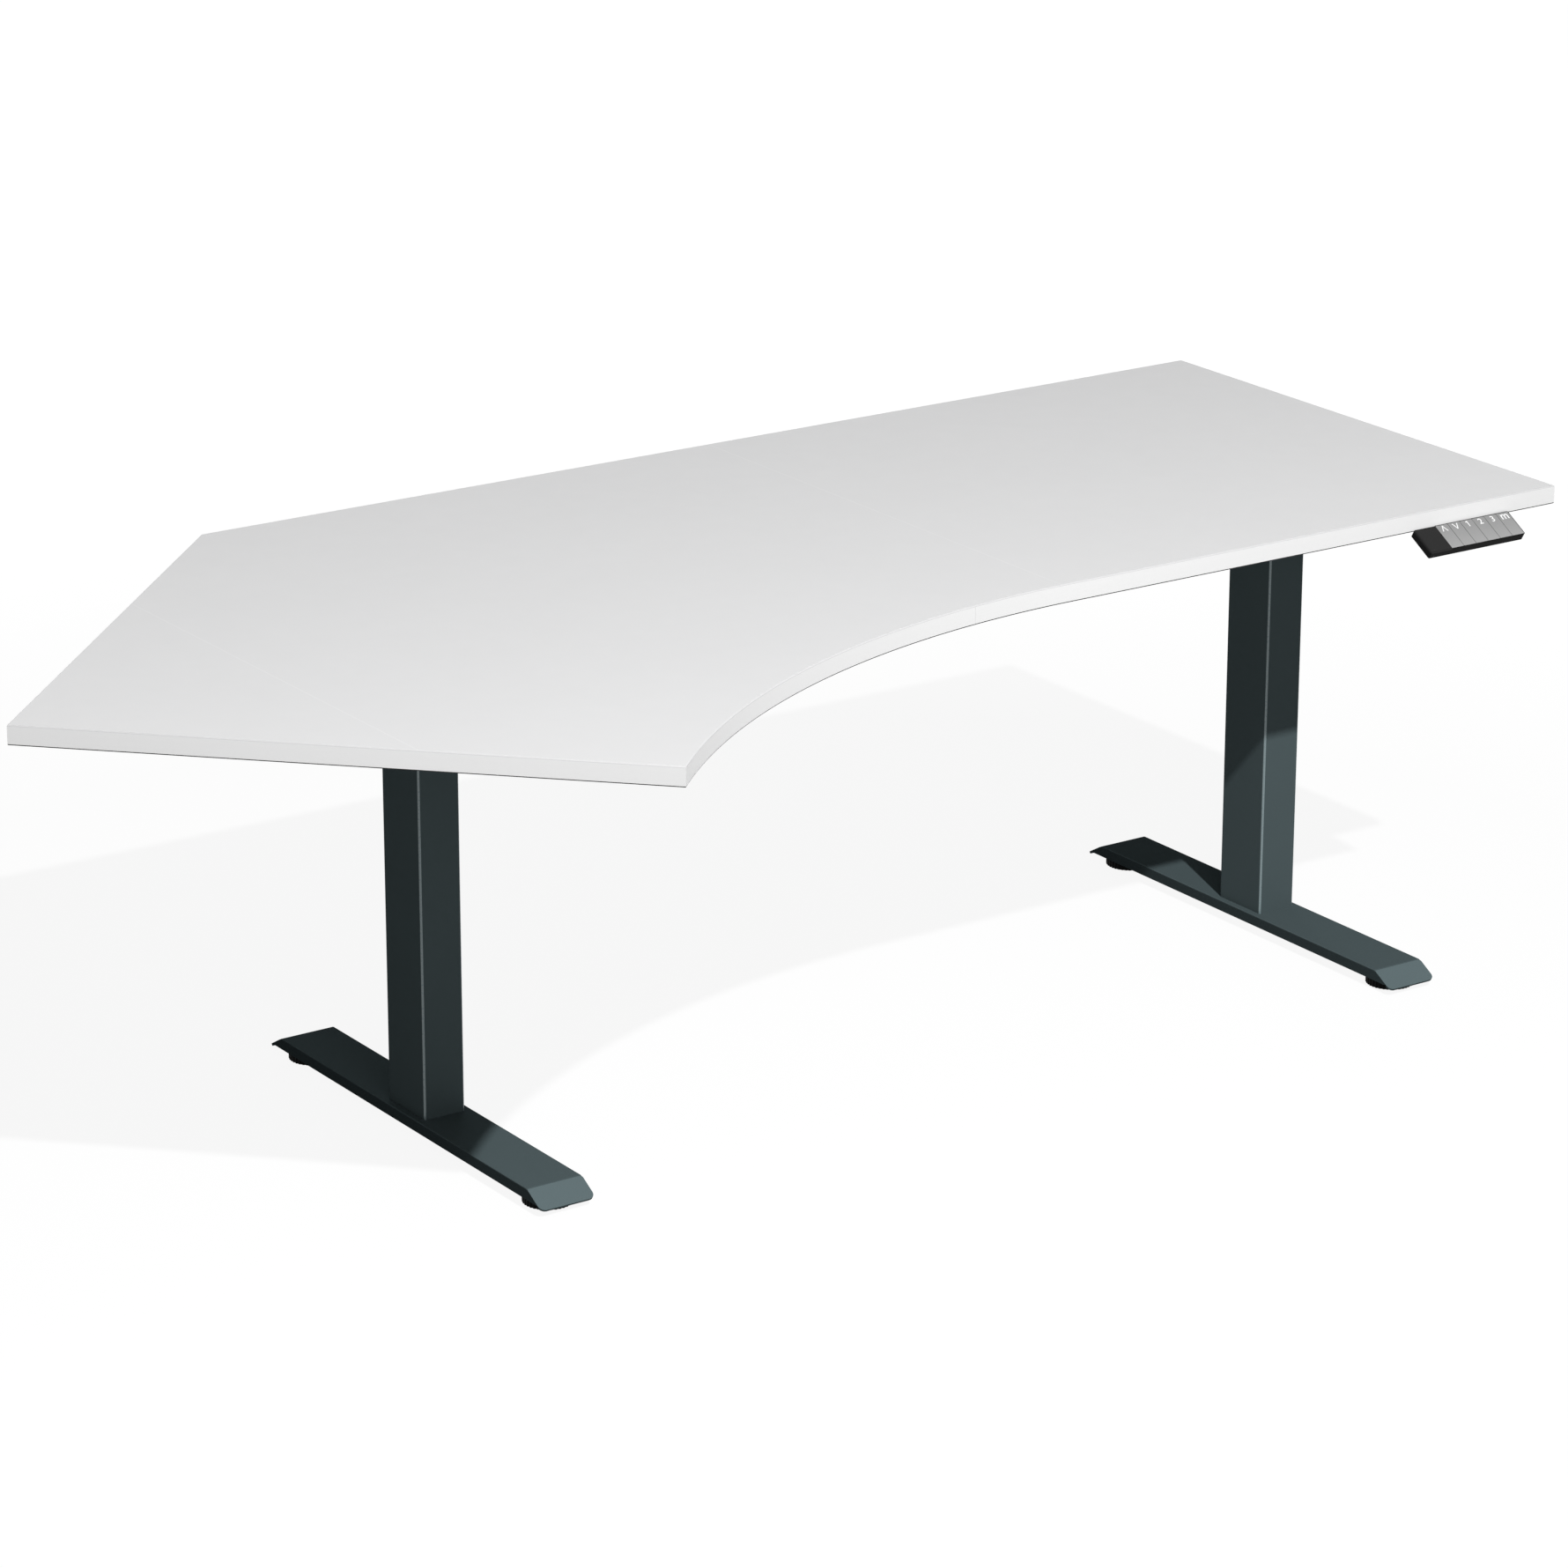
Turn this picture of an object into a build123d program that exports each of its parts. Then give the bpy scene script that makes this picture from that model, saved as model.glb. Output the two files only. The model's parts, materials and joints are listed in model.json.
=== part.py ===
"""Height adjustable standing desk: a swept top with a 45 degree wing, carried by two
two-stage lifting columns on flat feet, each driven by its own worm gear and spindle.

Millimetres. Origin: on the floor, under the middle of the top's outline.
+X runs right along the straight back edge, +Y to the back, +Z up.
"""

import os
from math import cos, pi, radians, sin, sqrt

from build123d import *

os.makedirs("parts", exist_ok=True)

# --- Desktop -------------------------------------------------------------------------
BACK_EDGE = 1600.0  # straight back edge
DEPTH = 800.0  # of the straight part, and of the wing
WING_ANGLE = 45.0
TOP_HEIGHT = 705.0  # top face above the floor in the modelled position
TOP_T = 25.0
BAND_T = 2.0
BAND_ROUND = 1.6
WING_STEP = DEPTH / sqrt(2)  # how far the wing's corners step along X and Y
TOP_UNDER = TOP_HEIGHT - TOP_T
SHIFT_X = (BACK_EDGE + WING_STEP) / 2  # from the back right corner to the origin
SHIFT_Y = WING_STEP

# --- Lift: how far the top goes from the modelled height -----------------------------
LIFT_DOWN = 25.0
LIFT_UP = 455.0

# --- Columns -------------------------------------------------------------------------
COLUMN_GAP = 1357.0  # between the two column axes
RIGHT_LEG_X = 922.8
LEFT_LEG_X = RIGHT_LEG_X - COLUMN_GAP
LEG_Y = WING_STEP - DEPTH / 2
OUTER_X, OUTER_Y, OUTER_ROUND = 60.0, 90.0, 4.0
INNER_X, INNER_Y, INNER_ROUND = 52.0, 82.0, 3.0
WALL = 2.0
OUTER_TOP = 600.0
HEAD_Z = 632.0  # underside of the head plate
HEAD_T = 4.0
BASE_T = 6.0
COLLAR_LIP = 3.0
COLLAR_DEEP = 40.0
SLIDE_GAP = 0.15  # each side, between a slide face and its tube
INNER_BOTTOM = 41.0 + LIFT_DOWN  # clears the base plate when the top is right down
SLIPPER_TALL = 30.0

# --- Feet ----------------------------------------------------------------------------
FOOT_TOP = 30.0
FOOT_W = 80.0
FOOT_FLAT = 305.5  # half length of the flat top
SHEET = 3.0
FLANGE_LOW = 15.0
TONGUE_RUN, TONGUE_DROP = 32.7, 18.7
TONGUE_ROUND = 9.0
FOOT_EDGE_ROUND = 2.2
FOOT_BOLT_X, FOOT_BOLT_Y = 34.0, 56.0
FOOT_BOLT_R = 4.0

# --- Levelling glides ----------------------------------------------------------------
GLIDE_Y = 291.0
GLIDE_R = 33.0
GLIDE_LOW = 0.5  # the wheel's rim above the floor
GLIDE_TOP = 14.0
PAD_R, PAD_T = 27.0, 2.0
PAD_ROOM = 0.8  # round the pad, inside the wheel
KNURLS = 36
STUD_R = 5.0
RUNNING = 0.05  # radial clearance of a pin or thread in its hole

# --- Drive ---------------------------------------------------------------------------
SPINDLE_R = 7.0
JOURNAL_R = 5.0
THRUST_R, THRUST_BORE = 13.0, 10.0
THRUST_TOP = 590.0
SPINDLE_LOW = THRUST_TOP - 44.0 - LIFT_UP  # still through the nut when the top is right up
GEAR_MODULE = 1.5
GEAR_TEETH = 24
WORM_PITCH = pi * GEAR_MODULE
WORM_Y = 25.0  # worm axis behind the spindle axis
GEAR_Z = 656.0  # height of the worm axis and the middle of the wheel
GEAR_FACE = 8.0
WHEEL_TIP_R, WHEEL_ROOT_R = 19.4, 16.4
WORM_TIP_R, WORM_ROOT_R = 8.3, 5.3
TOOTH_TIP, TOOTH_ROOT = 1.0, 2.4  # thickness of tooth and thread
HOUSING_Z = HEAD_Z + HEAD_T
HOUSING_X = 40.0
HOUSING_Y = (-37.0, 47.0)
HEAD_BOLTS = [(-33.0, -30.0), (33.0, -30.0), (-33.0, 40.0), (33.0, 40.0)]
HEAD_BOLT_R = 3.0
MOTOR_R = 20.0
MOTOR_LONG = 96.0

# --- Frame under the top -------------------------------------------------------------
CONSOLE_LONG, CONSOLE_W = 560.0, 110.0
WEB_Z = TOP_UNDER - SHEET
CONSOLE_LOW = 650.0
RAIL_Y = 110.0  # each side of the column axis
RAIL_W, RAIL_H = 30.0, 36.0
RAIL_Z = WEB_Z - RAIL_H
ARM_W = 40.0
ARM_FROM = 150.0  # along the wing's middle line, from its end edge
ARM_ROOT_X = LEFT_LEG_X - CONSOLE_W / 2  # outer face of the left console
ARM_BOLT_OUT = 5.0  # how far the arm's bolts stand through the console's flange
ARM_TO = (ARM_ROOT_X - SHIFT_X + BACK_EDGE + WING_STEP / 2) * sqrt(2)
WOOD_SCREW_R, WOOD_HEAD_R, WOOD_DEEP = 2.2, 4.2, 16.0
FRAME_SCREW_R, FRAME_HEAD_R = 3.0, 5.0

# --- Control box ---------------------------------------------------------------------
BOX_X, BOX_LONG, BOX_W, BOX_H = 250.0, 240.0, 110.0, 34.0
BOX_WALL = 2.5
BOX_Z = WEB_Z - BOX_H

# --- Handset at the front edge -------------------------------------------------------
HAND_X, HAND_Y, HAND_Z = 838.0, -236.2, 683.5  # its back, top, left corner
HAND_W, HAND_DEEP, HAND_T = 161.6, 42.8, 10.9
HAND_TILT = 30.9
HAND_WALL = 1.6
DISPLAY_W = 35.8
KEY_COUNT = 6
KEY_RIM = 0.5
KEY_PITCH = (HAND_W - KEY_RIM - DISPLAY_W) / KEY_COUNT
KEY_GAP = 0.7
KEY_FIT = 0.25  # from a key to the wall round the well
KEY_CAP = 3.0
KEY_TRAVEL = 1.0
HAND_MOUNT_BACK = -168.0
HAND_NECK_IN = 30.0  # from the handset's ends to its neck's ends
HAND_FLOOR = 1.6
WINDOW_T = 2.2
WINDOW_BEVEL = 1.3
WELL_Z = -4.4  # floor of the key well under the handset's face
BOARD_Z = -9.2
STEM_R = 2.5

LEGS = {"left": (LEFT_LEG_X, 1), "right": (RIGHT_LEG_X, -1)}  # axis, and where inward is
STANDING = Align.CENTER, Align.CENTER, Align.MIN  # on its place, as a post stands


def save(piece, label):
    """Name a finished piece and write its STEP file."""
    piece.part.label = label
    export_step(piece.part, f"parts/{label}.step")


def side_plane(x, z=0.0):
    """Plane seen from the right: its x runs to the back, its y up, its normal to +X."""
    return Plane(origin=(x, LEG_Y, z), x_dir=(0, 1, 0), z_dir=(1, 0, 0))


def leg_plane(x, z):
    """Level plane at a height, with its origin on a column's axis."""
    return Plane(origin=(x, LEG_Y, z))


def slot_ring(x, z, outer, inner, outer_round, inner_round, tall):
    """Rounded rectangular ring about a column's axis, in the current BuildPart."""
    with BuildSketch(leg_plane(x, z)) as ring:
        RectangleRounded(*outer, outer_round)
        RectangleRounded(*inner, inner_round, mode=Mode.SUBTRACT)
    extrude(ring.sketch, amount=tall)


# === Desktop =========================================================================


def top_outline():
    """Outline of the top in the current sketch: straight part, sweep and wing."""
    corner = Vector(SHIFT_X, SHIFT_Y)
    front = corner + Vector(0, -DEPTH)
    sweep_start = corner + Vector(-DEPTH, -DEPTH)
    sweep_centre = sweep_start + Vector(0, -DEPTH * sqrt(2))
    wing_front = corner + Vector(-BACK_EDGE, -2 * WING_STEP)
    wing_back = corner + Vector(-BACK_EDGE - WING_STEP, -WING_STEP)
    bend = corner + Vector(-BACK_EDGE, 0)
    with BuildLine() as outline:
        Polyline(corner, front, sweep_start)
        CenterArc(sweep_centre, DEPTH * sqrt(2), 90, WING_ANGLE)
        Polyline(wing_front, wing_back, bend, corner)
    make_face(outline.edges())


def wing_point(along, across):
    """Point on the wing: along its middle line from the end edge, and across it."""
    end_x = SHIFT_X - BACK_EDGE - WING_STEP / 2
    end_y = SHIFT_Y - 1.5 * WING_STEP
    step = 1 / sqrt(2)
    return (end_x + (along - across) * step, end_y + (along + across) * step)


def console_screws():
    """Wood screws that hold the two consoles."""
    return [
        (x + dx, LEG_Y + dy)
        for x, _ in LEGS.values()
        for dx in (-40, 40)
        for dy in (-255, -75, 255)
    ]


ARM_SCREWS = [wing_point(ARM_FROM + 6, across) for across in (-190, -70, 70, 190)]
BOX_SCREWS = [
    (BOX_X + dx, LEG_Y + dy)
    for dx in (-BOX_LONG / 2 - 12, BOX_LONG / 2 + 12)
    for dy in (-35, 35)
]
HAND_SCREWS = [(HAND_X + dx, HAND_MOUNT_BACK - 9) for dx in (44, HAND_W - 44)]
WOOD_SCREWS = console_screws() + ARM_SCREWS + BOX_SCREWS

with BuildPart() as desktop_board:
    with BuildSketch(Plane.XY.offset(TOP_UNDER)) as board_face:
        top_outline()
        offset(amount=-BAND_T)
    extrude(amount=TOP_T)
    with Locations(*[(x, y, TOP_UNDER) for x, y in WOOD_SCREWS + HAND_SCREWS]):
        Cylinder(WOOD_SCREW_R, WOOD_DEEP, align=STANDING, mode=Mode.SUBTRACT)
save(desktop_board, "desktop_board")

with BuildPart() as edge_band:
    with BuildSketch(Plane.XY.offset(TOP_UNDER)):
        top_outline()
        add(board_face.sketch, mode=Mode.SUBTRACT)
    extrude(amount=TOP_T)
    rims = edge_band.faces().filter_by(Axis.Z).sort_by(Axis.Z)
    fillet([rims[0].outer_wire().edges(), rims[-1].outer_wire().edges()], BAND_ROUND)
save(edge_band, "edge_band")

# === Frame under the top =============================================================


def make_console(side, x, inward):
    """Channel across a column's head that carries the top."""
    half = CONSOLE_W / 2
    with BuildPart() as console:
        with BuildSketch(leg_plane(x, WEB_Z)):
            Rectangle(CONSOLE_W, CONSOLE_LONG)
        extrude(amount=SHEET)
        for face in (-half, half - SHEET):
            with BuildSketch(side_plane(x + face)):
                with BuildLine():
                    Polyline(
                        (-CONSOLE_LONG / 2, WEB_Z),
                        (-CONSOLE_LONG / 2, WEB_Z - 8),
                        (-CONSOLE_LONG / 2 + 90, CONSOLE_LOW),
                        (CONSOLE_LONG / 2 - 90, CONSOLE_LOW),
                        (CONSOLE_LONG / 2, WEB_Z - 8),
                        (CONSOLE_LONG / 2, WEB_Z),
                        close=True,
                    )
                make_face()
            extrude(amount=SHEET)
        # the inner flange lets the rails and the motor through
        with BuildSketch(side_plane(x)):
            with Locations((-RAIL_Y, RAIL_Z + RAIL_H / 2), (RAIL_Y, RAIL_Z + RAIL_H / 2)):
                Rectangle(RAIL_W + 2, RAIL_H)
            with Locations((WORM_Y, GEAR_Z)):
                Rectangle(2 * MOTOR_R + 4, 2 * (WEB_Z - GEAR_Z))
        extrude(amount=inward * half, mode=Mode.SUBTRACT)
        # holes for the head bolts, the rail screws and the wood screws
        with BuildSketch(leg_plane(x, WEB_Z)):
            with Locations(*HEAD_BOLTS):
                Circle(HEAD_BOLT_R)
            with Locations((0, -RAIL_Y), (0, RAIL_Y)):
                with GridLocations(50, 0, 2, 1):
                    Circle(FRAME_SCREW_R)
            with Locations(*[(dx, dy) for dx in (-40, 40) for dy in (-255, -75, 255)]):
                Circle(WOOD_SCREW_R)
        extrude(amount=SHEET, mode=Mode.SUBTRACT)
        if side == "left":
            with Locations(*arm_bolts()):
                Cylinder(FRAME_SCREW_R, 12, rotation=(0, 90, 0), mode=Mode.SUBTRACT)
    save(console, f"{side}_console")


def arm_bolts():
    """Bolts through the wing arm's root plate and the left console's outer flange."""
    root_y = wing_point(ARM_TO, 0)[1]
    return [(ARM_ROOT_X, root_y + dy, 663.5) for dy in (-45, 45)]


for side, (leg_x, inward) in LEGS.items():
    make_console(side, leg_x, inward)

for name, side_y in (("front_rail", -RAIL_Y), ("rear_rail", RAIL_Y)):
    start = ARM_ROOT_X + SHEET + ARM_BOLT_OUT + 1
    with BuildPart() as rail:
        with BuildSketch(side_plane(start, RAIL_Z + RAIL_H / 2)):
            with Locations((side_y, 0)):
                RectangleRounded(RAIL_W, RAIL_H, 3)
                RectangleRounded(RAIL_W - 2 * WALL, RAIL_H - 2 * WALL, 1, mode=Mode.SUBTRACT)
        extrude(amount=RIGHT_LEG_X + CONSOLE_W / 2 - SHEET - 1 - start)
        for leg_x, _ in LEGS.values():
            with Locations((leg_x, LEG_Y + side_y, RAIL_Z + RAIL_H / 2)):
                with GridLocations(50, 0, 2, 1):
                    Cylinder(FRAME_SCREW_R, RAIL_H, mode=Mode.SUBTRACT)
    save(rail, name)

with BuildPart() as wing_arm:
    start = wing_point(ARM_FROM, 0)
    along = Vector(1, 1).normalized()
    middle = Plane(origin=(*start, RAIL_Z + RAIL_H / 2), x_dir=(-along.Y, along.X, 0), z_dir=along)
    with BuildSketch(middle):
        RectangleRounded(ARM_W, RAIL_H, 3)
        RectangleRounded(ARM_W - 2 * WALL, RAIL_H - 2 * WALL, 1, mode=Mode.SUBTRACT)
    extrude(amount=ARM_TO - ARM_FROM + 60)
    split(bisect_by=Plane.YZ.offset(ARM_ROOT_X - SHEET), keep=Keep.BOTTOM)
    # root plate against the console
    with Locations((ARM_ROOT_X - SHEET / 2, wing_point(ARM_TO, 0)[1], 663.5)):
        Box(SHEET, 120, 26)
    # cross bar under the wing
    bar = Plane(origin=(*wing_point(ARM_FROM + 6, 0), WEB_Z), x_dir=(-along.Y, along.X, 0))
    with BuildSketch(bar):
        RectangleRounded(420, 36, 4)
    extrude(amount=SHEET)
    with Locations(*[(x, y, WEB_Z + SHEET / 2) for x, y in ARM_SCREWS]):
        Cylinder(WOOD_SCREW_R, SHEET, mode=Mode.SUBTRACT)
    with Locations(*arm_bolts()):
        Cylinder(FRAME_SCREW_R, 12, rotation=(0, 90, 0), mode=Mode.SUBTRACT)
save(wing_arm, "wing_arm")

with BuildPart() as frame_screws:
    for leg_x, _ in LEGS.values():
        for side_y in (-RAIL_Y, RAIL_Y):
            for dx in (-25, 25):
                with Locations((leg_x + dx, LEG_Y + side_y, RAIL_Z - 4)):
                    Cylinder(FRAME_HEAD_R, 4, align=STANDING)
                    Cylinder(FRAME_SCREW_R, 4 + RAIL_H + SHEET, align=STANDING)
    for x, y, z in arm_bolts():
        bolt = Plane(origin=(x - SHEET - 4, y, z), z_dir=(1, 0, 0))
        with BuildSketch(bolt):
            Circle(FRAME_HEAD_R)
        extrude(amount=4)
        with BuildSketch(bolt):
            Circle(FRAME_SCREW_R)
        extrude(amount=4 + 2 * SHEET + ARM_BOLT_OUT)
save(frame_screws, "frame_screws")

with BuildPart() as top_screws:
    for x, y in WOOD_SCREWS + HAND_SCREWS:
        with Locations((x, y, WEB_Z)):
            Cylinder(WOOD_SCREW_R, SHEET + WOOD_DEEP, align=STANDING)
        with Locations((x, y, WEB_Z - 2.5)):
            Cylinder(WOOD_HEAD_R, 2.5, align=STANDING)
save(top_screws, "top_screws")

# === Columns =========================================================================


def make_foot(side, x):
    """Foot: bent sheet with a tongue at each end, side flanges and nut blocks."""
    reach, drop = TONGUE_RUN, TONGUE_DROP
    slope = sqrt(reach**2 + drop**2)
    nx, nz = SHEET * drop / slope, SHEET * reach / slope  # through the sheet
    bend_in = SHEET * (slope - reach) / drop  # the bend's inner corner steps back
    tip = (FOOT_FLAT + reach, FOOT_TOP - drop)
    edge = [(FOOT_FLAT, FOOT_TOP), tip, (tip[0] - nx, tip[1] - nz)]
    edge.append((FOOT_FLAT - bend_in, FOOT_TOP - SHEET))
    mirrored = [(-y, z) for y, z in reversed(edge)]
    with BuildPart() as foot:
        with BuildSketch(side_plane(x - FOOT_W / 2)):
            with BuildLine():
                Polyline(*edge, *mirrored, close=True)
            make_face()
        extrude(amount=FOOT_W)
        tips = foot.edges().filter_by(lambda e: abs(e.length - SHEET) < 0.01)
        fillet(tips, TONGUE_ROUND)
        # flanges run on under the tongues until they meet them
        low = FOOT_FLAT + (FOOT_TOP - FLANGE_LOW) * reach / drop - 2.0
        for face in (-FOOT_W / 2, FOOT_W / 2 - SHEET):
            with BuildSketch(side_plane(x + face)):
                with BuildLine():
                    Polyline(
                        (-FOOT_FLAT, FOOT_TOP - 1),
                        (FOOT_FLAT, FOOT_TOP - 1),
                        (low, FLANGE_LOW),
                        (-low, FLANGE_LOW),
                        close=True,
                    )
                make_face()
            extrude(amount=SHEET)
        ridge = (
            foot.edges()
            .filter_by(Axis.Y)
            .filter_by_position(Axis.Z, FOOT_TOP - 0.1, FOOT_TOP + 0.1)
        )
        fillet(ridge, FOOT_EDGE_ROUND)
        # plate under the column and a nut block over each levelling glide
        nut_tall = FOOT_TOP - SHEET - FLANGE_LOW - 1
        with Locations((x, LEG_Y, FOOT_TOP - SHEET - 2.5)):
            Box(FOOT_W - 2 * SHEET, 120, 5)
        for y in (-GLIDE_Y, GLIDE_Y):
            with Locations((x, LEG_Y + y, FLANGE_LOW + 1)):
                Cylinder(11, nut_tall, align=STANDING)
                Cylinder(STUD_R + RUNNING, nut_tall, align=STANDING, mode=Mode.SUBTRACT)
        with Locations((x, LEG_Y, FOOT_TOP - 4)):
            with GridLocations(FOOT_BOLT_X, FOOT_BOLT_Y, 2, 2):
                Cylinder(FOOT_BOLT_R, 10, mode=Mode.SUBTRACT)
    save(foot, f"{side}_foot")


def make_glide(side, end, x, y):
    """Levelling glide: a floor pad, and a knurled wheel with its stud that turns on it."""
    with BuildPart() as pad:
        with Locations((x, y, 0)):
            Cylinder(PAD_R, PAD_T, align=STANDING)
        fillet(pad.edges().group_by(Axis.Z)[0], 0.8)
        with Locations((x, y, PAD_T)):
            Cylinder(4.0, 4.0, align=STANDING)
    save(pad, f"{side}_{end}_pad")

    with BuildPart() as glide:
        with Locations((x, y, GLIDE_LOW)):
            Cylinder(GLIDE_R, GLIDE_TOP - GLIDE_LOW, align=STANDING)
        rims = glide.edges().filter_by(GeomType.CIRCLE).group_by(Axis.Z)
        fillet(rims[0], 0.6)
        fillet(rims[-1], 1.0)
        with BuildSketch(Plane(origin=(x, y, 0))):
            with PolarLocations(GLIDE_R + 1.2, KNURLS):
                Circle(2.2)
        extrude(amount=GLIDE_TOP, mode=Mode.SUBTRACT)
        with Locations((x, y, 0)):
            Cylinder(PAD_R + PAD_ROOM, PAD_T + 0.2, align=STANDING, mode=Mode.SUBTRACT)
        with Locations((x, y, PAD_T)):
            Cylinder(4.0 + RUNNING, 4.3, align=STANDING, mode=Mode.SUBTRACT)
        with Locations((x, y, GLIDE_TOP)):
            Cylinder(STUD_R, FOOT_TOP - SHEET - 0.5 - GLIDE_TOP, align=STANDING)
    save(glide, f"{side}_{end}_glide")


def make_column(side, x):
    """Outer tube with its base plate, guide collar, inner tube with its head plate."""
    outer_in = (OUTER_X - 2 * WALL, OUTER_Y - 2 * WALL)
    inner_in = (INNER_X - 2 * WALL, INNER_Y - 2 * WALL)
    slide = (INNER_X + 2 * SLIDE_GAP, INNER_Y + 2 * SLIDE_GAP)
    with BuildPart() as tube:
        slot_ring(x, FOOT_TOP, (OUTER_X, OUTER_Y), outer_in, OUTER_ROUND, 2.0, OUTER_TOP - FOOT_TOP)
        with BuildSketch(leg_plane(x, FOOT_TOP)):
            Rectangle(*outer_in)
            with GridLocations(FOOT_BOLT_X, FOOT_BOLT_Y, 2, 2):
                Circle(FOOT_BOLT_R, mode=Mode.SUBTRACT)
        extrude(amount=BASE_T)
    save(tube, f"{side}_outer_tube")

    with BuildPart() as collar:
        slot_ring(x, OUTER_TOP - COLLAR_DEEP, outer_in, slide, 2.0, INNER_ROUND, COLLAR_DEEP)
        slot_ring(x, OUTER_TOP, (OUTER_X, OUTER_Y), slide, OUTER_ROUND, INNER_ROUND, COLLAR_LIP)
        fillet(collar.edges().group_by(Axis.Z)[-1], 0.8)
    save(collar, f"{side}_guide_collar")

    with BuildPart() as foot_bolts:
        with Locations((x, LEG_Y, FOOT_TOP - SHEET - 5)):
            with GridLocations(FOOT_BOLT_X, FOOT_BOLT_Y, 2, 2):
                Cylinder(FOOT_BOLT_R, SHEET + 5 + BASE_T, align=STANDING)
        with Locations((x, LEG_Y, FOOT_TOP - SHEET - 5)):
            with GridLocations(FOOT_BOLT_X, FOOT_BOLT_Y, 2, 2):
                Cylinder(7.0, 4.5, align=(Align.CENTER, Align.CENTER, Align.MAX))
    save(foot_bolts, f"{side}_foot_bolts")

    with BuildPart() as inner:
        tall = HEAD_Z - INNER_BOTTOM
        slot_ring(x, INNER_BOTTOM, (INNER_X, INNER_Y), inner_in, INNER_ROUND, 1.5, tall)
        with BuildSketch(leg_plane(x, HEAD_Z)):
            with Locations((0, sum(HOUSING_Y) / 2)):
                RectangleRounded(2 * HOUSING_X, HOUSING_Y[1] - HOUSING_Y[0], 4)
            with Locations(*HEAD_BOLTS):
                Circle(HEAD_BOLT_R, mode=Mode.SUBTRACT)
            Circle(SPINDLE_R + 2, mode=Mode.SUBTRACT)
        extrude(amount=HEAD_T)
    save(inner, f"{side}_inner_tube")

    with BuildPart() as slipper:
        slot_ring(
            x, INNER_BOTTOM, (outer_in[0] - 2 * SLIDE_GAP, outer_in[1] - 2 * SLIDE_GAP),
            (INNER_X, INNER_Y), 2.0, INNER_ROUND, SLIPPER_TALL,
        )
        with BuildSketch(leg_plane(x, INNER_BOTTOM - 4)):
            RectangleRounded(outer_in[0] - 2 * SLIDE_GAP, outer_in[1] - 2 * SLIDE_GAP, 2.0)
            Circle(THRUST_R + 0.3, mode=Mode.SUBTRACT)
        extrude(amount=4)
    save(slipper, f"{side}_slipper")


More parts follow.
